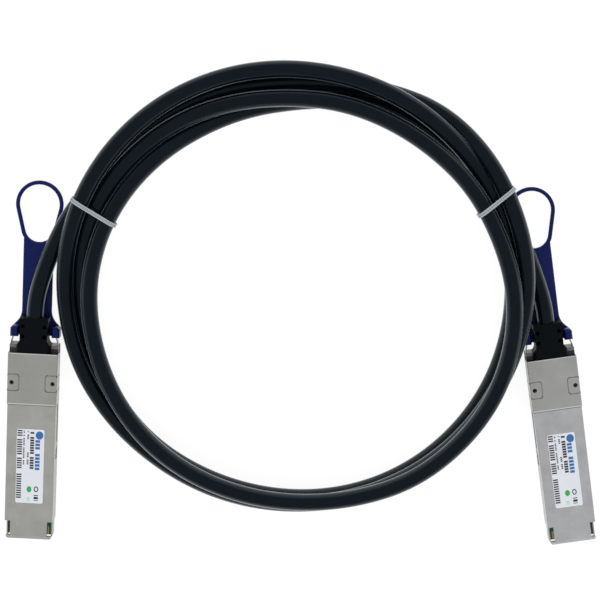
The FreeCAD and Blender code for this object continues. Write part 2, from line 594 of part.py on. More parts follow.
def label():
    sticker = block(-LABEL_WIDTH / 2, LABEL_WIDTH / 2, LABEL_START, LABEL_START + LABEL_LENGTH,
                    PLUG_HEIGHT, PLUG_HEIGHT + LABEL_THICKNESS)
    return sticker.makeChamfer(LABEL_CORNER, edges_along(sticker, UP, lambda m: True))


def connector():
    """Every piece of one connector, in the connector's own frame."""
    pieces = {
        "base_shell": base_shell(), "lid": lid(), "rear_collar": rear_collar(),
        "housing_pins": housing_pins(), "latch_slider": latch_slider(), "pull_tab": pull_tab(),
        "return_spring_left": return_spring(-1), "return_spring_right": return_spring(1),
        "paddle_card": paddle_card(), "contact_pads": contact_pads(),
        "solder_mould": solder_mould(), "crimp_ferrule": crimp_ferrule(), "boot": boot(),
        "label": label(),
    }
    for index in range(2 * PAIRS_PER_FACE):
        pieces[f"twinax_pair_{index + 1}"] = twinax_pair(index)
    return pieces


def coil_section(angle, inner, outer, low, high, grow=0.0):
    """Eight-sided outline of the bundle, in the upright plane at an angle about the coil."""
    inner, outer, low, high = inner - grow, outer + grow, low - grow, high + grow
    cut = COIL_CORNER + grow / 2
    out = Vector(math.cos(math.radians(angle)), math.sin(math.radians(angle)), 0)
    outline = ((inner + cut, low), (outer - cut, low), (outer, low + cut), (outer, high - cut),
               (outer - cut, high), (inner + cut, high), (inner, high - cut), (inner, low + cut),
               (inner + cut, low))
    return Part.makePolygon([COIL_CENTRE + out * r + UP * z for r, z in outline])


def station_at(angle):
    """The bundle's outline at any angle, eased from each station to the next."""
    stations = COIL_STATIONS + ((360,) + COIL_STATIONS[0][1:],)
    for before, after in zip(stations, stations[1:]):
        if before[0] <= angle < after[0]:
            share = (angle - before[0]) / (after[0] - before[0])
            ease = share * share * (3 - 2 * share)
            return [angle] + [a + (b - a) * ease for a, b in zip(before[1:], after[1:])]
    raise ValueError(angle)


def cable_coil():
    """Outer shape of the wound bundle, relieved for the moving tabs' corners and the ties' heads."""
    step = 360 / COIL_SECTIONS
    sections = [coil_section(*station_at(index * step)) for index in range(COIL_SECTIONS)]
    ring = Part.makeLoft(sections, True, True, True)
    room = RUNNING_GAP * 2
    for place in PLUGS.values():
        sweep = block(-TAB_HALF - room, TAB_HALF + room, LID_LENGTH + TAB_START - room,
                      LID_LENGTH + TAB_START + BLOCK_LENGTH + LATCH_TRAVEL + room,
                      0, BLOCK_HEIGHT + room)
        sweep.Placement = plug_placement(place)
        ring = ring.cut(sweep)
    for place in TIES.values():
        ring = ring.cut(tie_head(place))
    return ring


def cable_tail(name, points):
    """Round tube whose straight runs are joined by tangent arcs."""
    points = [Vector(*p) for p in points]
    edges, radii = [], []
    start = points[0]
    for before, corner, after in zip(points, points[1:], points[2:]):
        back, ahead = before - corner, after - corner
        reach = ARC_SHARE * min(back.Length, ahead.Length)
        turn = math.pi - back.getAngle(ahead)
        back.normalize()
        ahead.normalize()
        enter, leave = corner + back * reach, corner + ahead * reach
        radius = reach / math.tan(turn / 2)
        inward = (back + ahead).normalize()
        middle = corner + inward * (radius / math.cos(turn / 2) - radius)
        edges += [Part.LineSegment(start, enter).toShape(), Part.Arc(enter, middle, leave).toShape()]
        radii.append(radius)
        start = leave
    edges.append(Part.LineSegment(start, points[-1]).toShape())
    path = Part.Wire(edges)
    ahead = (points[1] - points[0]).normalize()
    aside = ahead.cross(UP).normalize()
    ring = Part.makePolygon([
        points[0] + aside * (CABLE_RADIUS * math.cos(2 * math.pi * n / TAIL_FLATS))
        + UP * (CABLE_RADIUS * math.sin(2 * math.pi * n / TAIL_FLATS)) for n in range(TAIL_FLATS + 1)])
    tube = path.makePipeShell([ring], True, True)
    section = Part.Face(ring).Area
    print(f"{name}: radii {[round(r, 1) for r in radii]} length {path.Length:.1f} "
          f"volume ratio {tube.Volume / (section * path.Length):.5f}")
    return tube


def bundle_middle(angle):
    """The point on the table under the middle of the bundle, at an angle about the coil."""
    _, inner, outer, _, _ = station_at(angle)
    return COIL_CENTRE + Rotation(UP, angle).multVec(ACROSS * ((inner + outer) / 2))


def tie_head(place):
    """Locking head, in a hollow under one edge of the bundle."""
    _, inner, outer, low, _ = station_at(place["angle"])
    length, depth, height = TIE_HEAD
    start = inner if place["side"] == "inner" else outer - depth
    head = Part.makeBox(depth, length, height, Vector(start, -length / 2, low))
    head.Placement = Placement(COIL_CENTRE, Rotation(UP, place["angle"]))
    head.rotate(bundle_middle(place["angle"]), UP, place["skew"])
    return head


def tie(place, coil):
    """Narrow nylon tie drawn round the bundle, with its locking head."""
    angle = place["angle"]
    face = Part.Face(coil_section(*station_at(angle), TIE_THICKNESS))
    along = Rotation(UP, angle).multVec(ALONG)
    face.translate(along * (-TIE_WIDTH / 2))
    band = face.extrude(along * TIE_WIDTH)
    band.rotate(bundle_middle(angle), UP, place["skew"])
    return band.fuse(tie_head(place)).cut(coil).removeSplitter()


def plug_placement(plug):
    """Turn the connector by its yaw about the lid's rear edge and set that edge in place."""
    turn = Rotation(UP, plug["yaw"])
    return Placement(plug["rear"] - turn.multVec(Vector(0, LID_LENGTH, 0)), turn)


def export(name, shape):
    shape.exportStep(f"parts/{name}.step")
    solids = len(shape.Solids)
    print(f"{name:28s} solids {solids:2d} volume {shape.Volume:10.2f} valid {shape.isValid()}")


def main():
    os.makedirs("parts", exist_ok=True)
    for name, piece in connector().items():
        for end, plug in PLUGS.items():
            placed = piece.copy()
            placed.Placement = plug_placement(plug).multiply(placed.Placement)
            export(f"{name}_{end}", placed)
    coil = cable_coil()
    export("cable_coil", coil)
    export("cable_tail_a", cable_tail("cable_tail_a", TAIL_A))
    export("cable_tail_b", cable_tail("cable_tail_b", TAIL_B))
    for side, place in TIES.items():
        export(f"tie_{side}", tie(place, coil))


main()
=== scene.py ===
import json
import math

import bpy
from mathutils import Matrix, Vector


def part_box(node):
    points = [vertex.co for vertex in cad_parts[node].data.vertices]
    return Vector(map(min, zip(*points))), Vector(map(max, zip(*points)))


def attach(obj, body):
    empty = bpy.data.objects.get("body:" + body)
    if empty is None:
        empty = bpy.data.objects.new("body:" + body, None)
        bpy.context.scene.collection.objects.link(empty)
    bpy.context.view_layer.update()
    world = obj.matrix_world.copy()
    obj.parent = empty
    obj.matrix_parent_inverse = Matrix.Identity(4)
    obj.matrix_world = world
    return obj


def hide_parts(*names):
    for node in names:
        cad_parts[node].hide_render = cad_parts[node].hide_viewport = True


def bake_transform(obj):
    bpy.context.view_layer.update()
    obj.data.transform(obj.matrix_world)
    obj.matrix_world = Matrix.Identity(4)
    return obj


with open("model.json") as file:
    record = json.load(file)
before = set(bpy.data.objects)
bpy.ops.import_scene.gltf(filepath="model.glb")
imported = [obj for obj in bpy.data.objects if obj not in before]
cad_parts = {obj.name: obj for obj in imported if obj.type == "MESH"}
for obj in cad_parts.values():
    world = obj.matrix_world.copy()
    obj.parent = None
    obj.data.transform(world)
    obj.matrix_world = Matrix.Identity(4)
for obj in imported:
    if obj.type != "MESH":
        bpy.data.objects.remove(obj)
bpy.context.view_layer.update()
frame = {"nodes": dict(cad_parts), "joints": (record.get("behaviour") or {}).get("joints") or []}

bl_info = {
    "name": "Copper Cable Dressing",
    "version": (1, 0, 0),
    "blender": (4, 5, 0),
    "location": "View3D > Sidebar > Copper Cable",
    "description": "Finishes a coiled direct attach copper cable and its two connectors",
    "category": "Object",
}

MM = 0.001
UP = Vector((0.0, 0.0, 1.0))
SIDEWAYS = Vector((1.0, 0.0, 0.0))
ROOT = "housing"
PLUGS = ("a", "b")

# ---- the cable's route, as in the part's source (metres) ----
COIL_CENTRE = Vector((-0.00175, 0.02905, 0.0))
EXIT_A = (-0.09970, 0.01853, 0.0050)
EXIT_B = (0.09221, 0.01647, 0.0050)
TAIL_A = ((-0.09945, 0.0232, 0.0050), (-0.0979, 0.0302, 0.0050), (-0.0946, 0.0394, 0.0050),
          (-0.0908, 0.0480, 0.0050), (-0.0865, 0.0559, 0.0050))
TAIL_B = ((0.0842, 0.0432, 0.0050), (0.0873, 0.0352, 0.0050), (0.0899, 0.0276, 0.0050),
          (0.0915, 0.0214, 0.0050))
# The wound turns: turn in degrees clockwise from the left, radius and height in millimetres.
COIL_STATIONS = (
    (23.3, 85.7, 4.6), (33.2, 83.0, 3.6), (46, 81.2, 3.2), (60.9, 79.9, 3.2), (90, 76.5, 3.2),
    (109.4, 79.4, 3.2), (127, 84.5, 4.2), (140.4, 86.0, 7.4), (150, 85.8, 11.4), (158, 85.5, 13.8),
    (165.9, 85.8, 13.2), (178.2, 85.7, 11.6), (198.7, 84.4, 9.8), (224.2, 83.4, 9.6),
    (250, 82.2, 9.5), (270, 81.6, 9.5), (300, 82.2, 9.2), (315.7, 83.0, 8.8), (328, 84.6, 7.6),
    (340.9, 85.9, 6.4), (361.1, 86.4, 5.2), (373.6, 86.3, 9.0), (386.8, 86.0, 11.2),
    (403, 85.4, 10.6), (421.2, 84.3, 9.6), (450, 82.0, 8.8), (469.2, 81.0, 9.6), (486.6, 80.8, 9.7),
    (500.3, 80.5, 9.2), (513.2, 81.3, 8.8), (521, 81.3, 9.2), (529, 81.0, 8.4), (541, 80.9, 6.6),
    (559.2, 82.0, 3.8), (580, 82.3, 3.2), (600, 82.2, 3.2), (620, 81.6, 3.2), (640, 80.7, 3.2),
    (660, 80.6, 3.2), (675.3, 81.1, 3.2), (700.7, 80.4, 3.2), (721, 80.6, 3.2), (733, 80.6, 6.2),
    (745, 80.2, 9.2), (760, 78.3, 8.7), (770, 76.8, 8.3), (781.2, 75.2, 8.4), (792, 73.3, 9.4),
    (810, 71.4, 9.7), (829.1, 71.6, 9.8), (846.4, 72.0, 10.6), (859.9, 74.2, 12.6),
    (872.6, 75.9, 13.4), (887.5, 77.8, 14.4), (900, 80.6, 14.8), (912, 82.2, 15.4),
    (930, 83.4, 15.8), (958, 82.8, 15.8), (970, 81.2, 15.8), (982, 79.7, 15.8), (1005, 78.8, 15.7),
    (1030, 78.9, 15.0), (1046, 78.7, 12.6), (1061.5, 78.0, 9.8), (1081.8, 76.9, 9.4),
    (1107.1, 73.8, 9.8), (1125, 71.3, 8.4), (1141.1, 69.5, 6.2), (1155, 69.1, 4.0),
    (1170, 69.6, 3.2), (1180, 71.8, 3.2), (1189.4, 73.7, 3.2), (1207, 76.0, 3.2),
    (1220.8, 77.2, 3.4), (1233.8, 79.4, 4.4), (1245.8, 84.0, 4.7),
)
COIL_STEP = 15.0
FULL_TURN = 360.0
LEFT_OF_COIL = 180.0
STATION_SLACK = 3.0

# Each tie: turn about the coil, skew of its line, and the way its head faces (degrees).
TIES = {"left": (22.0, -10.5, 244.0), "right": (155.2, 14.0, 328.0)}
TIE_POINTS = 72
TOOTH_LAYOUT = "along"
# Shares of the band's thickness: depth of the channel between its rails, and rounding of its edges.
CHANNEL_DEPTH, BAND_ROUNDING = 0.22, 0.12
# Shares of the head: rim round the slot's mouth, taper of the mouth, rounding, and how far the head
# stands out from the band, because the pawl is on that side.
MOUTH_RIM, MOUTH_TAPER, HEAD_ROUNDING, PAWL_SIDE = 0.24, (0.8, 0.55, 0.75), 0.10, 0.16
# The band's cut end: shares of the band's width, the head's length and the band's thickness, then
# the length and taper of its tip, and its place along and through the head.
STUB_SIZE, STUB_TIP, STUB_TAPER, STUB_PLACE = (0.94, 0.7, 0.8), 0.12, (0.9, 1.0, 0.7), (0.5, 0.24)
SPRING_SIDES, SPRING_STEPS = 10, 20

# The shared patterns: the grain's part in the colour, size and spacing of specks, where a streak
# starts, how often a dash is left out, and the pitch below which a field is solid.
GRAIN_SHARE = 0.35
SPECK_SIZE, SPECK_SPACING, STREAK_START = 0.09, 1.6, 0.66
GAP_CHANCE, SOLID_PITCH = 0.12, 0.02
# The jacket is painted paler where it is seen edge on, a painted highlight standing in for rim
# reflections.
# The painted rim sheen: where it starts and how far it takes to rise, from 0 facing to 1 edge on.
RIM_SHEEN_START, RIM_SHEEN_RISE, RIM_SHEEN_POWER = 0.48, 0.45, 1.2
# The band between its rails: relief of its teeth in metres, painted shade in the valleys, and its
# strength.
TOOTH_RELIEF, VALLEY_PAINTED_SHADE, VALLEY_MIDDLE, VALLEY_SWING = 0.00010, (0.10, 0.12, 0.14), 0.42, -0.40
# Heights over which the sky and its reflection fade, as the sine of the angle above the horizon.
SKY_FADE, MIRROR_FADE = (0.10, 0.85), (0.02, 0.45)
FLOOR_SIZE, FLOOR_SHADE, FLOOR_GLOW = 3.0, (0.22, 0.22, 0.22), 0.88

# How each finish varies: roughness, metallic, tint, spread of the roughness, scales of the grain
# and of the patches, depth of the relief in metres, then where it has them the amount of marks and
# their colour, and the strength and tint of its reflection.
FINISHES = {
    "tie_nylon": (0.42, 0.0, 0.12, 0.15, 2500, 260, 2e-5),
    "cast_metal": (0.40, 0.50, 0.36, 0.30, 1500, 170, 4e-5, 0.16, (0.34, 0.34, 0.32)),
    "collar_steel": (0.36, 0.55, 0.26, 0.25, 2400, 120, 2e-5, 0.10, (0.33, 0.33, 0.32)),
    "pin_steel": (0.50, 0.60, 0.40, 0.30, 3500, 800, 3e-5, 0.20, (0.20, 0.20, 0.20)),
    "spring_steel": (0.30, 0.95, 0.20, 0.30, 2000, 300, 1e-5, 0.15, (0.25, 0.24, 0.22)),
    "blue_plastic": (0.36, 0.0, 0.30, 0.22, 2600, 70, 3e-5, 0.12, (0.06, 0.06, 0.20), 0.42,
                     (0.62, 0.78, 1.0)),
    "black_rubber": (0.55, 0.0, 0.35, 0.20, 2200, 120, 4e-5, 0.05, (0.020, 0.024, 0.028), 0.18,
                     (0.78, 0.90, 1.0)),
    "card_green": (0.38, 0.0, 0.30, 0.20, 1800, 400, 2e-5, 0.12, (0.05, 0.22, 0.14)),
    "gold": (0.34, 0.75, 0.18, 0.20, 3000, 900, 1e-5, 0.15, (0.55, 0.40, 0.20)),
    "hot_melt": (0.45, 0.0, 0.20, 0.20, 900, 200, 8e-5, 0.10, (0.50, 0.44, 0.32)),
    "pair_foil": (0.35, 0.90, 0.25, 0.30, 1200, 500, 6e-5, 0.20, (0.40, 0.40, 0.42)),
    "ferrule_metal": (0.38, 0.90, 0.20, 0.25, 1500, 300, 3e-5, 0.20, (0.35, 0.26, 0.14)),
    "label_paper": (0.42, 0.0, 0.08, 0.12, 2600, 180, 1e-5),
}
PIN_COLOUR, SPRING_COLOUR = (0.045, 0.045, 0.045), (0.50, 0.49, 0.47)
# Finish of the inner pieces, its colour, and how the names of those pieces start.
INNER_PIECES = (
    ("card_green", (0.012, 0.125, 0.065), "paddle_card_"),
    ("gold", (0.80, 0.58, 0.28), "contact_pads_"),
    ("hot_melt", (0.72, 0.66, 0.52), "solder_mould_"),
    ("pair_foil", (0.62, 0.62, 0.64), "twinax_pair_"),
    ("ferrule_metal", (0.66, 0.50, 0.26), "crimp_ferrule_"),
)

# Kinds of socket on the shared node groups.
FLOAT, VECTOR, COLOUR = "NodeSocketFloat", "NodeSocketVector", "NodeSocketColor"

# Printed fields of the label, in millimetres from its middle, +Y towards the cable:
# middle x, middle y, half width, half length, colour, dash pitch (0 is solid), filled share, round.
PRINT_FIELDS = (
    (-4.05, 0.3, 0.95, 13.8, "ink", 0.90, 0.62, 0.0),
    (-2.45, 7.2, 0.28, 6.6, "ink", 0.62, 0.70, 0.0),
    (-0.90, 12.1, 0.34, 1.5, "ink", 0.70, 0.70, 0.0),
    (-0.90, 3.1, 0.34, 2.4, "ink", 0.70, 0.70, 0.0),
    (0.65, 6.0, 0.74, 7.7, "ink", 0.98, 0.76, 0.0),
    (2.75, 4.2, 0.90, 6.2, "blue", 1.34, 0.74, 0.0),
    (3.35, 12.2, 1.45, 1.60, "blue", 0.0, 1.0, 1.0),
    (2.55, -8.9, 0.86, 1.15, "ink", 0.0, 1.0, 1.0),
    (2.55, -8.9, 0.48, 0.72, "paper", 0.0, 1.0, 1.0),
    (2.55, -12.3, 0.84, 1.15, "ink", 1.28, 0.70, 0.0),
    (-0.10, -9.0, 0.95, 1.20, "green", 0.0, 1.0, 1.0),
    (-0.35, -12.0, 0.62, 1.55, "mint", 0.50, 0.70, 0.0),
)

# Painted shade and highlights on the metal, in millimetres from the collar's middle, +Y towards the
# cable:
# middle x, middle y, half width, half length, grey, how round.
# Painted shade round each pin: a dark ring along the slit about it, and a dark disc round its hole.
PIN_PAINTED_SHADE = ((7.24, -1.45, 2.48, 3.33, 0.16, 0.8), (7.24, -1.45, 2.14, 2.98, None, 0.8),
              (7.70, -1.45, 0.82, 0.82, 0.03, 1.0))
# On the collar: the painted shade round the pins, then painted highlights along its front and rear
# edges.
COLLAR_PAINTED_LIGHT = PIN_PAINTED_SHADE + ((0.0, -9.70, 9.0, 0.22, 0.95, 0.0), (0.0, 9.70, 9.0, 0.18, 0.80, 0.0))
# Painted shade on the casting: over the rear pockets, darkest along the collar's rear edge, and a
# line before it.
CASTING_PAINTED_SHADE = ((0.0, 12.6, 9.4, 2.8, 0.26, 0.0), (0.0, 10.6, 9.4, 0.85, 0.07, 0.0),
                  (0.0, -10.05, 9.4, 0.16, 0.30, 0.0))


class CableSettings(bpy.types.PropertyGroup):
    diameter: bpy.props.FloatProperty(
        name="Diameter", description="Outside diameter of the jacket", default=0.0064, min=0.002,
        subtype="DISTANCE")
    length: bpy.props.FloatProperty(
        name="Length", description="Length of the cable from boot to boot", default=1.80,
        subtype="DISTANCE")
    jacket: bpy.props.FloatVectorProperty(
        name="Jacket", description="Colour of the cable's jacket", subtype="COLOR",
        default=(0.0012, 0.0042, 0.0076))
    gloss: bpy.props.FloatProperty(
        name="Jacket roughness", description="How matt the jacket is", default=0.21, min=0.0,
        max=1.0)
    # Painted rim sheen: pale colour painted on the jacket where it turns away, a painted highlight.
    painted_rim_sheen: bpy.props.FloatVectorProperty(
        name="Painted rim sheen", description="Pale colour of the jacket where it turns away", subtype="COLOR",
        default=(0.20, 0.235, 0.265))


class TieSettings(bpy.types.PropertyGroup):
    width: bpy.props.FloatProperty(
        name="Width", description="Width of the nylon band", default=0.0015, subtype="DISTANCE")
    thickness: bpy.props.FloatProperty(
        name="Thickness", description="Thickness of the nylon band", default=0.0007,
        subtype="DISTANCE")
    rail: bpy.props.FloatProperty(
        name="Rail", description="Width of the raised rail along each edge", default=0.00034,
        subtype="DISTANCE")
    tooth_pitch: bpy.props.FloatProperty(
        name="Tooth pitch", description="Distance between the band's teeth", default=0.0009,
        subtype="DISTANCE")
    head: bpy.props.FloatVectorProperty(
        name="Head", description="Size of the locking head: across, along and through the band",
        default=(0.0042, 0.0036, 0.0030), unit="LENGTH", subtype="XYZ")
    nylon: bpy.props.FloatVectorProperty(
        name="Nylon", description="Colour of the ties", subtype="COLOR", default=(0.44, 0.48, 0.51))


class SpringSettings(bpy.types.PropertyGroup):
    wire: bpy.props.FloatProperty(
        name="Wire", description="Thickness of the spring wire", default=0.00022,
        subtype="DISTANCE")
    radius: bpy.props.FloatProperty(
        name="Radius", description="Radius of the winding, to the middle of the wire",
        default=0.00064, subtype="DISTANCE")
    length: bpy.props.FloatProperty(
        name="Length", description="Length of each spring at rest", default=0.0064,
        subtype="DISTANCE")
    turns: bpy.props.IntProperty(name="Turns", description="Turns of each spring", default=6, min=1)


class ConnectorSettings(bpy.types.PropertyGroup):
    casting_a: bpy.props.FloatVectorProperty(
        name="Casting a", description="Colour of the first die-cast housing", subtype="COLOR",
        default=(0.515, 0.515, 0.490))
    casting_b: bpy.props.FloatVectorProperty(
        name="Casting b", description="Colour of the second die-cast housing", subtype="COLOR",
        default=(0.595, 0.600, 0.610))
    collar_a: bpy.props.FloatVectorProperty(
        name="Collar a", description="Colour of the first rear collar", subtype="COLOR",
        default=(0.490, 0.490, 0.465))
    collar_b: bpy.props.FloatVectorProperty(
        name="Collar b", description="Colour of the second rear collar", subtype="COLOR",
        default=(0.540, 0.540, 0.530))
    tab: bpy.props.FloatVectorProperty(
        name="Pull tab", description="Colour of the moulded tab", subtype="COLOR",
        default=(0.0022, 0.0058, 0.103))
    boot: bpy.props.FloatVectorProperty(
        name="Boot", description="Colour of the strain relief", subtype="COLOR",
        default=(0.0012, 0.0026, 0.0034))
    paper: bpy.props.FloatVectorProperty(
        name="Label", description="Colour of the label", subtype="COLOR",
        default=(0.74, 0.77, 0.82))
    ink: bpy.props.FloatVectorProperty(
        name="Dark print", description="Colour of the dark fields", subtype="COLOR",
        default=(0.035, 0.040, 0.045))
    blue: bpy.props.FloatVectorProperty(
        name="Blue print", description="Colour of the blue fields", subtype="COLOR",
        default=(0.035, 0.15, 0.42))
    green: bpy.props.FloatVectorProperty(
        name="Green print", description="Colour of the green field", subtype="COLOR",
        default=(0.02, 0.42, 0.12))
    mint: bpy.props.FloatVectorProperty(
        name="Pale green print", description="Colour of the pale green field", subtype="COLOR",
        default=(0.36, 0.72, 0.46))


class StageSettings(bpy.types.PropertyGroup):
    target: bpy.props.FloatVectorProperty(
        name="Target", description="Point that the camera looks at",
        default=(-0.00025, 0.02525, 0.0060), unit="LENGTH", subtype="XYZ")
    distance: bpy.props.FloatProperty(
        name="Distance", description="Distance from the camera to its target", default=0.650,
        subtype="DISTANCE")
    tilt: bpy.props.FloatProperty(
        name="Tilt", description="Lean of the camera from straight above towards the coil",
        default=math.radians(10.0), unit="ROTATION", subtype="ANGLE")
    lens: bpy.props.FloatProperty(
        name="Lens", description="Focal length of the camera in millimetres", default=104.2)
    sky: bpy.props.FloatProperty(
        name="Overhead light", description="Strength of the sky straight above", default=0.86)
    horizon: bpy.props.FloatProperty(
        name="Surround light", description="Strength of the sky near the horizon", default=1.45)
    mirror: bpy.props.FloatProperty(
        name="Overhead reflection", description="Strength of the sky in reflections straight above",
        default=0.24)
    rim: bpy.props.FloatProperty(
        name="Low reflection", description="Strength of the sky in reflections near the horizon",
        default=1.10)


# ---- shared helpers ----

def clear_selection():
    """Leaves edit mode, with nothing selected."""
    if bpy.context.mode != "OBJECT":
        bpy.ops.object.mode_set(mode="OBJECT")
    bpy.ops.object.select_all(action="DESELECT")


def new_block(size):
    """A box of the given size at the origin, left in edit mode."""
    clear_selection()
    bpy.ops.mesh.primitive_cube_add(size=1.0, location=(0.0, 0.0, 0.0))
    bpy.ops.object.mode_set(mode="EDIT")
    bpy.ops.transform.resize(value=size)
    return bpy.context.object


def pick_faces(piece, wanted):
    """Selects the faces that pass a test, in edit mode."""
    bpy.ops.object.mode_set(mode="EDIT")
    bpy.ops.mesh.select_mode(type="FACE")
    bpy.ops.mesh.select_all(action="DESELECT")
    bpy.ops.object.mode_set(mode="OBJECT")
    for face in piece.data.polygons:
        face.select = wanted(face)
    bpy.ops.object.mode_set(mode="EDIT")


def soften(piece, width, segments, angle):
    """Rounds the edges of a piece that are sharper than an angle in degrees."""
    rounding = piece.modifiers.new("soften", "BEVEL")
    rounding.width = width
    rounding.segments = segments
    rounding.limit_method = "ANGLE"
    rounding.angle_limit = math.radians(angle)
    bpy.ops.object.modifier_apply(modifier=rounding.name)


def settings(name):
    """One group of the values that the panel shows."""
    return getattr(bpy.context.scene, "copper_" + name)


def slide_axis(end):
    """Direction that one connector's tab is pulled in."""
    return Vector(next(j["axis"] for j in frame["joints"] if j["name"] == f"pull_tab_{end}_slide"))


def plug_yaw(end):
    """Turn of one connector about the vertical."""
    axis = slide_axis(end)
    return math.atan2(-axis.x, axis.y)


def dress(material, *names):
    """Gives one material to CAD nodes that keep their shape."""
    for name in names:
        mesh = frame["nodes"][name].data
        mesh.materials.clear()
        mesh.materials.append(material)


# ---- node groups that several finishes share ----

def feed(tree, value, slot):
    """Links a value to a socket, or sets it there when it is a constant."""
    if isinstance(value, bpy.types.NodeSocket):
        tree.links.new(value, slot)
    else:
        slot.default_value = (*value, 1.0) if slot.type == "RGBA" else value


def fill(tree, made, values):
    """Feeds several sockets of a node, by their titles."""
    for title, value in values.items():
        feed(tree, value, made.inputs[title])
    return made


def node(tree, kind, **values):
    """A new shader node with its options set."""
    made = tree.nodes.new("ShaderNode" + kind)
    for name, value in values.items():
        setattr(made, name, value)
    return made


def maths(tree, operation, first, second=None, clamp=False):
    """The result of one sum on numbers."""
    made = node(tree, "Math", operation=operation, use_clamp=clamp)
    feed(tree, first, made.inputs[0])
    if second is not None:
        feed(tree, second, made.inputs[1])
    return made.outputs[0]


def vectors(tree, operation, *sources):
    """The result of one sum on vectors."""
    made = node(tree, "VectorMath", operation=operation)
    for source, slot in zip(sources, made.inputs):
        feed(tree, source, slot)
    return made.outputs[0]


def split(tree, vector):
    """X, Y and Z of a vector."""
    parts = node(tree, "SeparateXYZ")
    feed(tree, vector, parts.inputs[0])
    return parts.outputs


def blend_colour(tree, mask, first, second):
    """The first colour, and the second where the mask rises."""
    made = node(tree, "Mix", data_type="RGBA")
    for index, value in ((0, mask), (6, first), (7, second)):
        feed(tree, value, made.inputs[index])
    return made.outputs[2]


def base_colour(tree):
    """What a finish's colour comes from so far."""
    return tree.nodes["Principled BSDF"].inputs["Base Color"].links[0].from_socket


def recolour(tree, shade):
    """Gives a finish another colour."""
    feed(tree, shade, tree.nodes["Principled BSDF"].inputs["Base Color"])


def noise(tree, vector, scale, detail=3.0, roughness=0.55):
    """Cloudy values from 0 to 1."""
    values = {"Vector": vector, "Scale": scale, "Detail": detail, "Roughness": roughness}
    return fill(tree, node(tree, "TexNoise"), values).outputs["Fac"]


def new_group(name, inputs, outputs):
    """An empty node group, the sockets that bring in its inputs, and those of its outputs."""
    group = bpy.data.node_groups.new(name, "ShaderNodeTree")
    for title, kind, default in inputs:
        socket = group.interface.new_socket(title, in_out="INPUT", socket_type=kind)
        if default is not None:
            socket.default_value = default
    for title, kind in outputs:
        group.interface.new_socket(title, in_out="OUTPUT", socket_type=kind)
    given, result = (group.nodes.new("NodeGroup" + end) for end in ("Input", "Output"))
    return group, given.outputs, result.inputs


def surface_grain():
    """Fine grain in the surface and slow patches in its colour and gloss."""
    group, given, result = new_group(
        "surface_grain",
        [("Vector", VECTOR, None), ("Colour", COLOUR, (0.5, 0.5, 0.5, 1.0)),
         ("Tint", FLOAT, 0.1), ("Roughness", FLOAT, 0.5), ("Spread", FLOAT, 0.1),
         ("Grain scale", FLOAT, 3000.0), ("Patch scale", FLOAT, 60.0)],
        [("Colour", COLOUR), ("Roughness", FLOAT), ("Height", FLOAT)])
    grain = noise(group, given["Vector"], given["Grain scale"], 2.0)
    patch = noise(group, given["Vector"], given["Patch scale"], 4.0)
    rough = maths(group, "MULTIPLY", maths(group, "SUBTRACT", grain, 0.5), GRAIN_SHARE)
    lean = maths(group, "ADD", maths(group, "SUBTRACT", patch, 0.5), rough)
    shade = maths(group, "ADD", maths(group, "MULTIPLY", lean, given["Tint"]), 1.0)
    scaled = node(group, "VectorMath", operation="SCALE")
    feed(group, given["Colour"], scaled.inputs[0])
    feed(group, shade, scaled.inputs["Scale"])
    feed(group, scaled.outputs[0], result["Colour"])
    gloss = maths(group, "MULTIPLY", lean, given["Spread"])
    gloss = maths(group, "ADD", gloss, given["Roughness"], clamp=True)
    feed(group, gloss, result["Roughness"])
    feed(group, grain, result["Height"])
    return group


def handling_marks():
    """Sparse hairline scratches and specks, as a mask."""
    group, given, result = new_group(
        "handling_marks",
        [("Vector", VECTOR, None), ("Scale", FLOAT, 300.0), ("Stretch", VECTOR, (1.0, 0.12, 1.0)),
         ("Amount", FLOAT, 0.3)],
        [("Mask", FLOAT)])
    stretched = vectors(group, "MULTIPLY", given["Vector"], given["Stretch"])
    lines = noise(group, stretched, given["Scale"], 5.0, 0.7)
    specks = node(group, "TexVoronoi", feature="F1")
    feed(group, given["Vector"], specks.inputs["Vector"])
    spacing = maths(group, "MULTIPLY", given["Scale"], SPECK_SPACING)
    feed(group, spacing, specks.inputs["Scale"])
    dots = maths(group, "LESS_THAN", specks.outputs["Distance"], SPECK_SIZE)
    streaks = maths(group, "GREATER_THAN", lines, STREAK_START)
    marks = maths(group, "MAXIMUM", dots, streaks)
    feed(group, maths(group, "MULTIPLY", marks, given["Amount"]), result["Mask"])
    return group


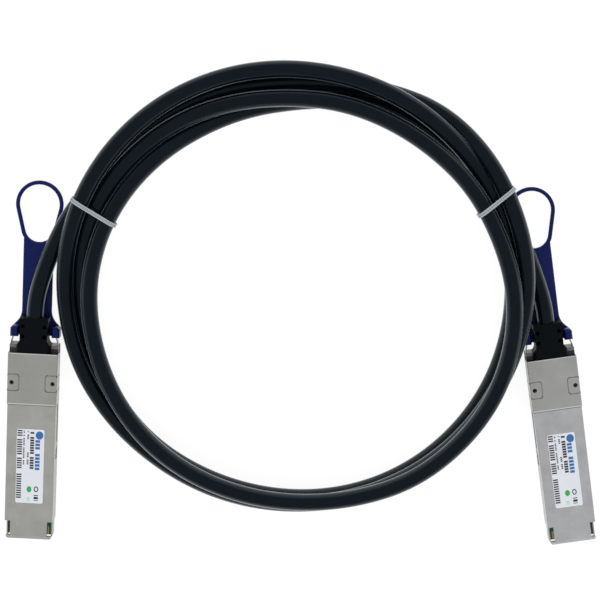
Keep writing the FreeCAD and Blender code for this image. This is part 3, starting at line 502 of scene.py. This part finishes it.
def printed_field():
    """One field of print, square or round, solid or in dashes along its length, as a mask."""
    group, given, result = new_group(
        "printed_field",
        [("Vector", VECTOR, None), ("Middle", VECTOR, (0.0, 0.0, 0.0)),
         ("Half size", VECTOR, (1.0, 1.0, 1.0)), ("Dash pitch", FLOAT, 0.0),
         ("Filled", FLOAT, 0.7), ("Round", FLOAT, 0.0)],
        [("Mask", FLOAT)])
    offset = vectors(group, "SUBTRACT", given["Vector"], given["Middle"])
    spot = split(group, vectors(group, "DIVIDE", offset, given["Half size"]))
    across, along = (maths(group, "ABSOLUTE", spot[i]) for i in (0, 1))
    square = maths(group, "MAXIMUM", across, along)
    circle = maths(group, "SQRT", maths(group, "ADD", maths(group, "POWER", across, 2.0),
                                        maths(group, "POWER", along, 2.0)))
    circle = maths(group, "MULTIPLY", circle, given["Round"])
    reach = maths(group, "MAXIMUM", square, circle)
    inside = maths(group, "LESS_THAN", reach, 1.0)
    pitch = maths(group, "MAXIMUM", given["Dash pitch"], SOLID_PITCH / 2)
    step = maths(group, "DIVIDE", split(group, given["Vector"])[1], pitch)
    chance = node(group, "TexWhiteNoise", noise_dimensions="1D")
    feed(group, maths(group, "FLOOR", step), chance.inputs["W"])
    shown = maths(group, "GREATER_THAN", chance.outputs["Value"], GAP_CHANCE)
    inked = maths(group, "LESS_THAN", maths(group, "FRACT", step), given["Filled"])
    dash = maths(group, "MULTIPLY", shown, inked)
    solid = maths(group, "LESS_THAN", given["Dash pitch"], SOLID_PITCH)
    feed(group, maths(group, "MULTIPLY", inside, maths(group, "MAXIMUM", dash, solid)),
         result["Mask"])
    return group


def shared_group(name):
    """A shared node group, built when a finish first asks for it."""
    makers = {"surface_grain": surface_grain, "handling_marks": handling_marks,
              "printed_field": printed_field}
    return bpy.data.node_groups.get(name) or makers[name]()


def place_group(tree, name, vector, **values):
    """One of the shared groups in a finish, with its own values."""
    made = node(tree, "Group", node_tree=shared_group(name))
    titles = {title.replace("_", " ").capitalize(): value for title, value in values.items()}
    return fill(tree, made, {"Vector": vector, **titles})


def new_finish(name, colour, roughness, metallic, tint, spread, grain, patch, depth, marks=0.0,
               mark_colour=(0.1, 0.1, 0.1), shine=0.5, glint=(1.0, 1.0, 1.0)):
    """A principled finish whose colour, gloss and relief vary over the surface."""
    finish = bpy.data.materials.new(name)
    finish.use_nodes = True
    tree = finish.node_tree
    shader = tree.nodes["Principled BSDF"]
    where = node(tree, "TexCoord").outputs["Object"]
    skin = place_group(tree, "surface_grain", where, colour=colour, tint=tint,
                       roughness=roughness, spread=spread, grain_scale=grain, patch_scale=patch)
    shade, height = skin.outputs["Colour"], skin.outputs["Height"]
    if marks:
        scuffs = place_group(tree, "handling_marks", where, amount=marks)
        shade = blend_colour(tree, scuffs.outputs["Mask"], shade, mark_colour)
        height = maths(tree, "SUBTRACT", height, scuffs.outputs["Mask"])
    recolour(tree, shade)
    fill(tree, shader, {"Roughness": skin.outputs["Roughness"], "Metallic": metallic,
                        "Specular IOR Level": shine, "Specular Tint": glint})
    relief = fill(tree, node(tree, "Bump"), {"Height": height, "Distance": depth, "Strength": 0.6})
    feed(tree, relief.outputs["Normal"], shader.inputs["Normal"])
    return finish


def table_finish(name, colour):
    """A finish from the table, where it stands without the letter of its connector."""
    return new_finish(name, colour, *FINISHES[name.removesuffix("_a").removesuffix("_b")])


def plug_space(tree, end, middle):
    """Coordinates along one connector, in millimetres from a point on it, +Y towards the cable."""
    where = next(n for n in tree.nodes if n.type == "TEX_COORD").outputs["Object"]
    local = node(tree, "Mapping", vector_type="TEXTURE")
    return fill(tree, local, {
        "Vector": where, "Location": middle, "Rotation": (0.0, 0.0, plug_yaw(end)),
        "Scale": (MM, MM, MM)}).outputs[0]


def box_middle(name):
    """Middle of a CAD node's box."""
    low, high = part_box(name)
    return (Vector(low) + Vector(high)) / 2


def add_painted_light(finish, end, shades):
    """Paints shade and highlights on parts of one connector's metal, the same on both sides of it.
    """
    tree = finish.node_tree
    local = plug_space(tree, end, box_middle(f"rear_collar_{end}"))
    place = node(tree, "CombineXYZ")
    feed(tree, split(tree, vectors(tree, "ABSOLUTE", local))[0], place.inputs[0])
    feed(tree, split(tree, local)[1], place.inputs[1])
    shade = plain = base_colour(tree)
    for x, y, half_width, half_length, grey, rounded in shades:
        field = place_group(tree, "printed_field", place.outputs[0], middle=(x, y, 0.0),
                            half_size=(half_width, half_length, 1.0), round=rounded)
        colour = plain if grey is None else (grey, grey, grey)
        shade = blend_colour(tree, field.outputs["Mask"], shade, colour)
    recolour(tree, shade)


# ---- the cable ----

def eased(turn, column):
    """A station value at any turn, on a smooth curve through the stations that never overshoots."""
    stations = COIL_STATIONS
    for index in range(len(stations) - 1):
        low, high = stations[index], stations[index + 1]
        if turn <= high[0] or index == len(stations) - 2:
            break
    width = high[0] - low[0]
    slope = (high[column] - low[column]) / width

    def tangent(before, middle, after):
        left = (middle[column] - before[column]) / (middle[0] - before[0])
        right = (after[column] - middle[column]) / (after[0] - middle[0])
        if left * right <= 0:
            return 0.0
        return 2 * left * right / (left + right)

    start = tangent(stations[index - 1], low, high) if index else slope
    more = index + 2 < len(stations)
    end = tangent(low, high, stations[index + 2]) if more else slope
    t = (turn - low[0]) / width
    h00, h10 = (1 + 2 * t) * (1 - t) ** 2, t * (1 - t) ** 2
    h01, h11 = t * t * (3 - 2 * t), t * t * (t - 1)
    return h00 * low[column] + h10 * width * start + h01 * high[column] + h11 * width * end


def station(turn):
    """Radius and height of the cable's middle at a turn, in metres."""
    return eased(turn, 1) * MM, eased(turn, 2) * MM


def outward_at(turn):
    """Direction out of the coil at a turn counted clockwise from its left, in degrees."""
    angle = math.radians(LEFT_OF_COIL - turn)
    return Vector((math.cos(angle), math.sin(angle), 0.0))


def coil_points():
    """Control points of the wound turns, a little outside them because the spline cuts inside."""
    spread = 1 / math.cos(math.radians(COIL_STEP / 2))
    first, last = COIL_STATIONS[0][0], COIL_STATIONS[-1][0]
    count = int((last - first) / COIL_STEP)
    points = []
    for index in range(count + 1):
        turn = first + (last - first) * index / count
        radius, height = station(turn)
        points.append(COIL_CENTRE + outward_at(turn) * radius * spread + UP * height)
    return points


def strands_at(turn):
    """Radius and height of every strand of the bundle at one place round the coil, in metres."""
    first, last = COIL_STATIONS[0][0], COIL_STATIONS[-1][0]
    laps = [turn + FULL_TURN * lap for lap in range(4)]
    return [station(max(lap, first)) for lap in laps if first - STATION_SLACK <= lap <= last]


class COPPER_OT_wind_cable(bpy.types.Operator):
    """Lays the cable from boot to boot, with its turns between the two tails"""
    bl_idname = "copper_cable.wind_cable"
    bl_label = "Wind the cable"

    def execute(self, context):
        chosen = settings("cable")
        points = [Vector(EXIT_A)] + [Vector(p) for p in TAIL_A] + coil_points()
        points += [Vector(p) for p in TAIL_B] + [Vector(EXIT_B)]
        curve = bpy.data.curves.new("cable", "CURVE")
        curve.dimensions = "3D"
        curve.bevel_depth = chosen.diameter / 2
        curve.bevel_resolution = 14
        curve.resolution_u = 10
        spline = curve.splines.new("NURBS")
        spline.points.add(len(points) - 1)
        for slot, point in zip(spline.points, points):
            slot.co = (*point, 1.0)
        spline.order_u = 3
        spline.use_endpoint_u = True
        cable = bpy.data.objects.new("cable", curve)
        context.scene.collection.objects.link(cable)
        jacket = new_finish("cable_jacket", chosen.jacket, chosen.gloss, metallic=0.0, tint=0.5,
                            spread=0.12, grain=1400.0, patch=45.0, depth=8e-6, marks=0.03,
                            mark_colour=(0.03, 0.032, 0.035), shine=0.42, glint=(0.78, 0.90, 1.0))
        # Painted highlight along the jacket's edges.
        self.add_painted_rim_sheen(jacket, chosen.painted_rim_sheen)
        curve.materials.append(jacket)
        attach(cable, ROOT)
        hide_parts("cable_coil", "cable_tail_a", "cable_tail_b")
        return {"FINISHED"}

    def add_painted_rim_sheen(self, jacket, painted_rim_sheen):
        """Paints the jacket paler where it is seen edge on, a painted highlight for its rim
        reflections.
        """
        tree = jacket.node_tree
        turned = fill(tree, node(tree, "LayerWeight"), {"Blend": 0.5})
        rise = maths(tree, "SUBTRACT", turned.outputs["Facing"], RIM_SHEEN_START)
        rise = maths(tree, "DIVIDE", rise, RIM_SHEEN_RISE, clamp=True)
        recolour(tree, blend_colour(tree, maths(tree, "POWER", rise, RIM_SHEEN_POWER),
                                    base_colour(tree), painted_rim_sheen))


# ---- the ties ----

def tie_frame(turn, skew):
    """Matrix from (along the bundle, across it, up) to a tie's place, and its middle radius."""
    strands = strands_at(turn)
    middle = sum(r for r, _ in strands) / len(strands)
    out = outward_at(turn)
    across = Matrix.Rotation(math.radians(skew), 3, "Z") @ out
    turned = Matrix((UP.cross(across), across, UP)).transposed().to_4x4()
    return Matrix.Translation(COIL_CENTRE + out * middle) @ turned, middle


def snug_loop(turn, skew, stand_off):
    """Closed loop drawn tight round the strands, as points across and up in the tie's frame."""
    _, middle = tie_frame(turn, skew)
    stretch = 1 / math.cos(math.radians(skew))
    strands = [((r - middle) * stretch, z) for r, z in strands_at(turn)]
    reach = settings("cable").diameter / 2 + stand_off
    loop = []
    for index in range(TIE_POINTS):
        angle = 2 * math.pi * index / TIE_POINTS
        facing = (math.cos(angle), math.sin(angle))
        held = max(strands, key=lambda s: s[0] * facing[0] + s[1] * facing[1])
        loop.append((held[0] + reach * facing[0], held[1] + reach * facing[1]))
    return loop


def tie_band(name, turn, skew):
    """The band: a circle drawn tight round the strands, widened, thickened and channelled."""
    chosen = settings("ties")
    place, _ = tie_frame(turn, skew)
    loop = snug_loop(turn, skew, 0.0)
    clear_selection()
    bpy.ops.mesh.primitive_circle_add(vertices=TIE_POINTS, radius=0.01, fill_type="NOTHING")
    band = bpy.context.object
    band.name = name
    for vertex, (across, up) in zip(band.data.vertices, loop):
        vertex.co = (-chosen.width / 2, across, up)
    lengths = [0.0]
    for here, there in zip(loop, loop[1:] + loop[:1]):
        lengths.append(lengths[-1] + math.dist(here, there))
    bpy.ops.object.mode_set(mode="EDIT")
    bpy.ops.mesh.select_mode(type="EDGE")
    bpy.ops.mesh.select_all(action="SELECT")
    bpy.ops.mesh.extrude_region_move(TRANSFORM_OT_translate={"value": (chosen.width, 0.0, 0.0)})
    bpy.ops.object.mode_set(mode="OBJECT")
    spread = band.data.uv_layers.new(name=TOOTH_LAYOUT)
    for face in band.data.polygons:
        members = [v % TIE_POINTS for v in face.vertices]
        last = TIE_POINTS - 1 in members and 0 in members
        for corner, vertex in zip(face.loop_indices, face.vertices):
            step = vertex % TIE_POINTS
            distance = lengths[TIE_POINTS if last and step == 0 else step]
            spread.data[corner].uv = (distance, float(vertex >= TIE_POINTS))
    face = band.data.polygons[0]
    middle = sum((v.co for v in band.data.vertices), Vector()) / len(band.data.vertices)
    if face.normal.dot(face.center - middle) < 0:
        bpy.ops.object.mode_set(mode="EDIT")
        bpy.ops.mesh.select_all(action="SELECT")
        bpy.ops.mesh.flip_normals()
        bpy.ops.object.mode_set(mode="OBJECT")
    thick = band.modifiers.new("thickness", "SOLIDIFY")
    thick.thickness = chosen.thickness
    thick.offset = 1.0
    bpy.ops.object.modifier_apply(modifier=thick.name)
    # The outer face is inset between two rails.
    pick_faces(band, lambda face: face.index < TIE_POINTS and abs(face.normal.x) < 0.5)
    bpy.ops.mesh.inset(thickness=chosen.rail, depth=-chosen.thickness * CHANNEL_DEPTH)
    bpy.ops.object.mode_set(mode="OBJECT")
    soften(band, chosen.thickness * BAND_ROUNDING, 2, 40.0)
    band.data.transform(place)
    return band


def tie_head(name, turn, skew, facing):
    """The locking head on the band, with the mouth of its slot and the band's cut end."""
    chosen = settings("ties")
    place, _ = tie_frame(turn, skew)
    loop = snug_loop(turn, skew, chosen.thickness / 2)
    index = int(facing / FULL_TURN * TIE_POINTS)
    here, there = max(zip(loop, loop[1:] + loop[:1]), key=lambda pair: (
        math.dist(*pair) if abs(loop.index(pair[0]) - index) < TIE_POINTS / 8 else 0.0))
    run = Vector((0.0, there[0] - here[0], there[1] - here[1])).normalized()
    outward = run.cross(SIDEWAYS).normalized()
    middle = Vector((0.0, (here[0] + there[0]) / 2, (here[1] + there[1]) / 2))
    angle = math.radians(facing)
    if outward.dot(Vector((0.0, math.cos(angle), math.sin(angle)))) < 0:
        outward = -outward
    turned = Matrix((SIDEWAYS, run, outward)).transposed().to_4x4()
    across, along, through = chosen.head
    head = new_block((across, along, through))
    head.name = name
    pick_faces(head, lambda face: abs(face.normal.y) > 0.9)
    bpy.ops.mesh.inset(thickness=through * MOUTH_RIM, depth=0.0)
    bpy.ops.mesh.extrude_region_move()
    bpy.ops.transform.resize(value=MOUTH_TAPER)
    bpy.ops.mesh.select_all(action="SELECT")
    bpy.ops.mesh.normals_make_consistent(inside=False)
    bpy.ops.object.mode_set(mode="OBJECT")
    soften(head, through * HEAD_ROUNDING, 3, 30.0)
    seat = place @ Matrix.Translation(middle + outward * through * PAWL_SIDE) @ turned
    wide, deep, thick = STUB_SIZE
    stub = new_block((chosen.width * wide, along * deep, chosen.thickness * thick))
    pick_faces(stub, lambda face: face.normal.y > 0.9)
    bpy.ops.mesh.extrude_region_move(TRANSFORM_OT_translate={"value": (0.0, along * STUB_TIP, 0.0)})
    bpy.ops.transform.resize(value=STUB_TAPER)
    bpy.ops.object.mode_set(mode="OBJECT")
    aside = Matrix.Translation((0.0, along * STUB_PLACE[0], through * STUB_PLACE[1]))
    for piece, spot in ((head, seat), (stub, seat @ aside)):
        for corner in piece.data.uv_layers.new(name=TOOTH_LAYOUT).data:
            corner.uv = (0.0, 0.5)
        piece.data.transform(spot)
    return head, stub


def nylon_finish():
    """Natural nylon with teeth moulded across the band, and painted shade between its rails"""
    chosen = settings("ties")
    finish = table_finish("tie_nylon", chosen.nylon)
    tree = finish.node_tree
    layout = node(tree, "UVMap", uv_map=TOOTH_LAYOUT)
    along, across, _ = split(tree, layout.outputs[0])
    phase = maths(tree, "MULTIPLY", along, 2 * math.pi / chosen.tooth_pitch)
    teeth = maths(tree, "MULTIPLY", maths(tree, "SINE", phase), 0.5)
    relief = next(n for n in tree.nodes if n.type == "BUMP")
    grain = relief.inputs["Height"].links[0].from_socket
    feed(tree, maths(tree, "ADD", teeth, grain), relief.inputs["Height"])
    relief.inputs["Distance"].default_value = TOOTH_RELIEF
    # Painted shade between the rails, darkest in the tooth valleys; the head and cut end get it
    # too.
    inward = maths(tree, "ABSOLUTE", maths(tree, "SUBTRACT", across, 0.5))
    channel = maths(tree, "LESS_THAN", inward, 0.5 - chosen.rail / chosen.width)
    valley = maths(tree, "ADD", maths(tree, "MULTIPLY", teeth, VALLEY_SWING), VALLEY_MIDDLE)
    recolour(tree, blend_colour(tree, maths(tree, "MULTIPLY", valley, channel), base_colour(tree),
                                VALLEY_PAINTED_SHADE))
    return finish


class COPPER_OT_fasten_ties(bpy.types.Operator):
    bl_idname = "copper_cable.fasten_ties"
    bl_label = "Fasten the ties"

    def execute(self, context):
        nylon = nylon_finish()
        for side, (turn, skew, facing) in TIES.items():
            band = tie_band(f"nylon_tie_{side}", turn, skew)
            head, stub = tie_head(f"nylon_head_{side}", turn, skew, facing)
            clear_selection()
            for piece in (head, stub, band):
                piece.select_set(True)
            context.view_layer.objects.active = band
            bpy.ops.object.join()
            band.data.materials.clear()
            band.data.materials.append(nylon)
            bpy.ops.object.shade_smooth_by_angle(angle=math.radians(35.0))
            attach(band, ROOT)
            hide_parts(f"tie_{side}")
        chosen = settings("cable")
        return {"FINISHED"}


# ---- the connectors ----

class COPPER_OT_finish_castings(bpy.types.Operator):
    """Satin plated die casting on both halves of each housing, with painted shade round the collar
    """
    bl_idname = "copper_cable.finish_castings"
    bl_label = "Finish the castings"

    def execute(self, context):
        chosen = settings("connectors")
        for end in PLUGS:
            cast = table_finish(f"cast_metal_{end}", getattr(chosen, f"casting_{end}"))
            # Painted shade on the casting round the collar.
            add_painted_light(cast, end, CASTING_PAINTED_SHADE)
            dress(cast, f"base_shell_{end}", f"lid_{end}")
        return {"FINISHED"}


class COPPER_OT_finish_collars(bpy.types.Operator):
    """Rolled sheet with painted shade and highlights on the collars, and dull steel on the pins"""
    bl_idname = "copper_cable.finish_collars"
    bl_label = "Finish the collars and pins"

    def execute(self, context):
        chosen = settings("connectors")
        pins = table_finish("pin_steel", PIN_COLOUR)
        for end in PLUGS:
            sheet = table_finish(f"collar_steel_{end}", getattr(chosen, f"collar_{end}"))
            # Painted shade round the pins and painted highlights on the collar's edges.
            add_painted_light(sheet, end, COLLAR_PAINTED_LIGHT)
            dress(sheet, f"rear_collar_{end}")
            dress(pins, f"housing_pins_{end}")
        return {"FINISHED"}


def wind_spring(name, middle, axis):
    """One return spring: a round section wound along the slide, with its ends capped."""
    chosen = settings("springs")
    clear_selection()
    bpy.ops.mesh.primitive_circle_add(
        vertices=SPRING_SIDES, radius=chosen.wire / 2, fill_type="NOTHING",
        location=(chosen.radius, 0.0, 0.0), rotation=(math.pi / 2, 0.0, 0.0))
    spring = bpy.context.object
    spring.name = name
    bpy.ops.object.transform_apply(location=True, rotation=True, scale=True)
    run = chosen.length - chosen.wire
    winding = spring.modifiers.new("winding", "SCREW")
    winding.axis = "Z"
    winding.steps = winding.render_steps = SPRING_STEPS
    winding.iterations = chosen.turns
    winding.screw_offset = run / chosen.turns
    bpy.ops.object.modifier_apply(modifier=winding.name)
    bpy.ops.object.mode_set(mode="EDIT")
    bpy.ops.mesh.select_mode(type="VERT")
    bpy.ops.mesh.select_all(action="SELECT")
    bpy.ops.mesh.fill_holes(sides=0)
    bpy.ops.mesh.select_all(action="SELECT")
    bpy.ops.mesh.normals_make_consistent(inside=False)
    bpy.ops.object.mode_set(mode="OBJECT")
    turned = axis.to_track_quat("Z", "Y").to_matrix().to_4x4()
    spring.data.transform(Matrix.Translation(middle - axis * run / 2) @ turned)
    bpy.ops.object.shade_smooth_by_angle(angle=math.radians(40.0))
    return spring


class COPPER_OT_finish_latches(bpy.types.Operator):
    """Spring steel sliders, and wound return springs in place of the CAD ones"""
    bl_idname = "copper_cable.finish_latches"
    bl_label = "Finish the latches"

    def execute(self, context):
        half = settings("springs").length / 2
        steel = table_finish("spring_steel", SPRING_COLOUR)
        for end in PLUGS:
            axis = slide_axis(end)
            dress(steel, f"latch_slider_{end}")
            for side in ("left", "right"):
                middle = box_middle(f"return_spring_{side}_{end}")
                spring = wind_spring(f"spring_{side}_{end}", middle, axis)
                spring.data.materials.append(steel)
                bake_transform(spring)
                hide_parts(f"return_spring_{side}_{end}")
        return {"FINISHED"}


class COPPER_OT_finish_tabs(bpy.types.Operator):
    """Satin moulded plastic on the pull tabs"""
    bl_idname = "copper_cable.finish_tabs"
    bl_label = "Finish the pull tabs"

    def execute(self, context):
        blue = table_finish("blue_plastic", settings("connectors").tab)
        for end in PLUGS:
            dress(blue, f"pull_tab_{end}")
        return {"FINISHED"}


class COPPER_OT_finish_boots(bpy.types.Operator):
    """Satin black elastomer on the strain reliefs"""
    bl_idname = "copper_cable.finish_boots"
    bl_label = "Finish the boots"

    def execute(self, context):
        rubber = table_finish("black_rubber", settings("connectors").boot)
        for end in PLUGS:
            dress(rubber, f"boot_{end}")
        return {"FINISHED"}


class COPPER_OT_finish_cards(bpy.types.Operator):
    """Solder mask, gold fingers, hot melt, foil and crimped brass inside each housing"""
    bl_idname = "copper_cable.finish_cards"
    bl_label = "Finish the circuit cards"

    def execute(self, context):
        for name, colour, start in INNER_PIECES:
            dress(table_finish(name, colour), *[n for n in frame["nodes"] if n.startswith(start)])
        return {"FINISHED"}


class COPPER_OT_print_labels(bpy.types.Operator):
    """Satin label with plain printed fields on each housing"""
    bl_idname = "copper_cable.print_labels"
    bl_label = "Print the labels"

    def execute(self, context):
        chosen = settings("connectors")
        for end in PLUGS:
            paper = table_finish(f"label_paper_{end}", chosen.paper)
            tree = paper.node_tree
            local = plug_space(tree, end, box_middle(f"label_{end}"))
            shade = base_colour(tree)
            for x, y, half_width, half_length, colour, pitch, filled, rounded in PRINT_FIELDS:
                field = place_group(tree, "printed_field", local, middle=(x, y, 0.0),
                                    half_size=(half_width, half_length, 1.0), dash_pitch=pitch,
                                    filled=filled, round=rounded)
                shade = blend_colour(tree, field.outputs["Mask"], shade, getattr(chosen, colour))
            recolour(tree, shade)
            dress(paper, f"label_{end}")
        return {"FINISHED"}


# ---- the stage ----

class COPPER_OT_set_stage(bpy.types.Operator):
    """Camera above the coil, white floor and plain soft light"""
    bl_idname = "copper_cable.set_stage"
    bl_label = "Set the stage"

    def execute(self, context):
        chosen = settings("stage")
        scene = context.scene
        camera = bpy.data.objects.new("camera", bpy.data.cameras.new("camera"))
        scene.collection.objects.link(camera)
        camera.data.lens = chosen.lens
        camera.data.clip_start = 0.01
        back = Vector((0.0, math.sin(chosen.tilt), math.cos(chosen.tilt)))
        up = Vector((0.0, math.cos(chosen.tilt), -math.sin(chosen.tilt)))
        turn = Matrix((up.cross(back), up, back)).transposed().to_4x4()
        place = Matrix.Translation(Vector(chosen.target) + back * chosen.distance)
        camera.matrix_world = place @ turn
        scene.camera = camera
        clear_selection()
        bpy.ops.mesh.primitive_plane_add(size=FLOOR_SIZE, location=(0.0, 0.0, 0.0))
        floor = context.object
        floor.name = "floor"
        floor.data.materials.append(self.floor_finish())
        self.light_sky(scene, chosen)
        scene.view_settings.view_transform = "Standard"
        return {"FINISHED"}

    def floor_finish(self):
        """White to the camera and in reflections, and a dull grey to the sky's own light."""
        finish = bpy.data.materials.new("white_floor")
        finish.use_nodes = True
        tree = finish.node_tree
        tree.nodes.clear()
        output = node(tree, "OutputMaterial")
        both = node(tree, "AddShader")
        dull = node(tree, "BsdfDiffuse")
        feed(tree, FLOOR_SHADE, dull.inputs["Color"])
        glow = node(tree, "Emission")
        ray = node(tree, "LightPath")
        seen = maths(tree, "MAXIMUM", ray.outputs["Is Camera Ray"], ray.outputs["Is Glossy Ray"])
        seen = maths(tree, "MAXIMUM", seen, ray.outputs["Is Transmission Ray"])
        feed(tree, maths(tree, "MULTIPLY", seen, FLOOR_GLOW), glow.inputs["Strength"])
        feed(tree, dull.outputs[0], both.inputs[0])
        feed(tree, glow.outputs[0], both.inputs[1])
        feed(tree, both.outputs[0], output.inputs["Surface"])
        return finish

    def light_sky(self, scene, chosen):
        """An even sky, whose reflection is dim overhead and bright low down."""
        world = bpy.data.worlds.new("studio")
        scene.world = world
        world.use_nodes = True
        tree = world.node_tree
        where = node(tree, "TexCoord")
        height = split(tree, where.outputs["Generated"])[2]
        ray = node(tree, "LightPath")
        lit = self.fade(tree, height, SKY_FADE, chosen.horizon, chosen.sky)
        mirrored = self.fade(tree, height, MIRROR_FADE, chosen.rim, chosen.mirror)
        strength = node(tree, "Mix", data_type="FLOAT")
        feed(tree, ray.outputs["Is Glossy Ray"], strength.inputs[0])
        feed(tree, lit, strength.inputs[2])
        feed(tree, mirrored, strength.inputs[3])
        fill(tree, tree.nodes["Background"], {"Color": (1.0, 1.0, 1.0),
                                              "Strength": strength.outputs[0]})

    def fade(self, tree, height, heights, low, high):
        """A strength that goes softly from its low value to its high one between two heights."""
        made = node(tree, "MapRange", interpolation_type="SMOOTHSTEP")
        return fill(tree, made, {"Value": height, "From Min": heights[0], "From Max": heights[1],
                                 "To Min": low, "To Max": high}).outputs["Result"]


OPERATORS = (
    COPPER_OT_set_stage, COPPER_OT_wind_cable, COPPER_OT_fasten_ties, COPPER_OT_finish_castings,
    COPPER_OT_finish_collars, COPPER_OT_finish_latches, COPPER_OT_finish_tabs,
    COPPER_OT_finish_boots, COPPER_OT_finish_cards, COPPER_OT_print_labels,
)


class COPPER_PT_panel(bpy.types.Panel):
    """Lists the steps that dress the cable"""
    bl_idname = "COPPER_PT_panel"
    bl_label = "Copper Cable"
    bl_space_type = "VIEW_3D"
    bl_region_type = "UI"
    bl_category = "Copper Cable"

    def draw(self, context):
        for step in OPERATORS:
            self.layout.operator(step.bl_idname)
        for name in GROUPS:
            chosen = settings(name)
            box = self.layout.box()
            for prop in chosen.bl_rna.properties:
                if not prop.is_readonly and prop.identifier != "name":
                    box.prop(chosen, prop.identifier)


GROUPS = {"cable": CableSettings, "ties": TieSettings, "springs": SpringSettings,
          "connectors": ConnectorSettings, "stage": StageSettings}
CLASSES = (*GROUPS.values(), *OPERATORS, COPPER_PT_panel)


def register():
    for item in CLASSES:
        bpy.utils.register_class(item)
    for name, group in GROUPS.items():
        setattr(bpy.types.Scene, "copper_" + name, bpy.props.PointerProperty(type=group))


def unregister():
    for name in GROUPS:
        delattr(bpy.types.Scene, "copper_" + name)
    for item in reversed(CLASSES):
        bpy.utils.unregister_class(item)


def main():
    """Dresses the whole object."""
    register()
    steps = bpy.ops.copper_cable
    steps.set_stage()
    steps.wind_cable()
    steps.fasten_ties()
    steps.finish_castings()
    steps.finish_collars()
    steps.finish_latches()
    steps.finish_tabs()
    steps.finish_boots()
    steps.finish_cards()
    steps.print_labels()


if __name__ == "__main__":
    main()
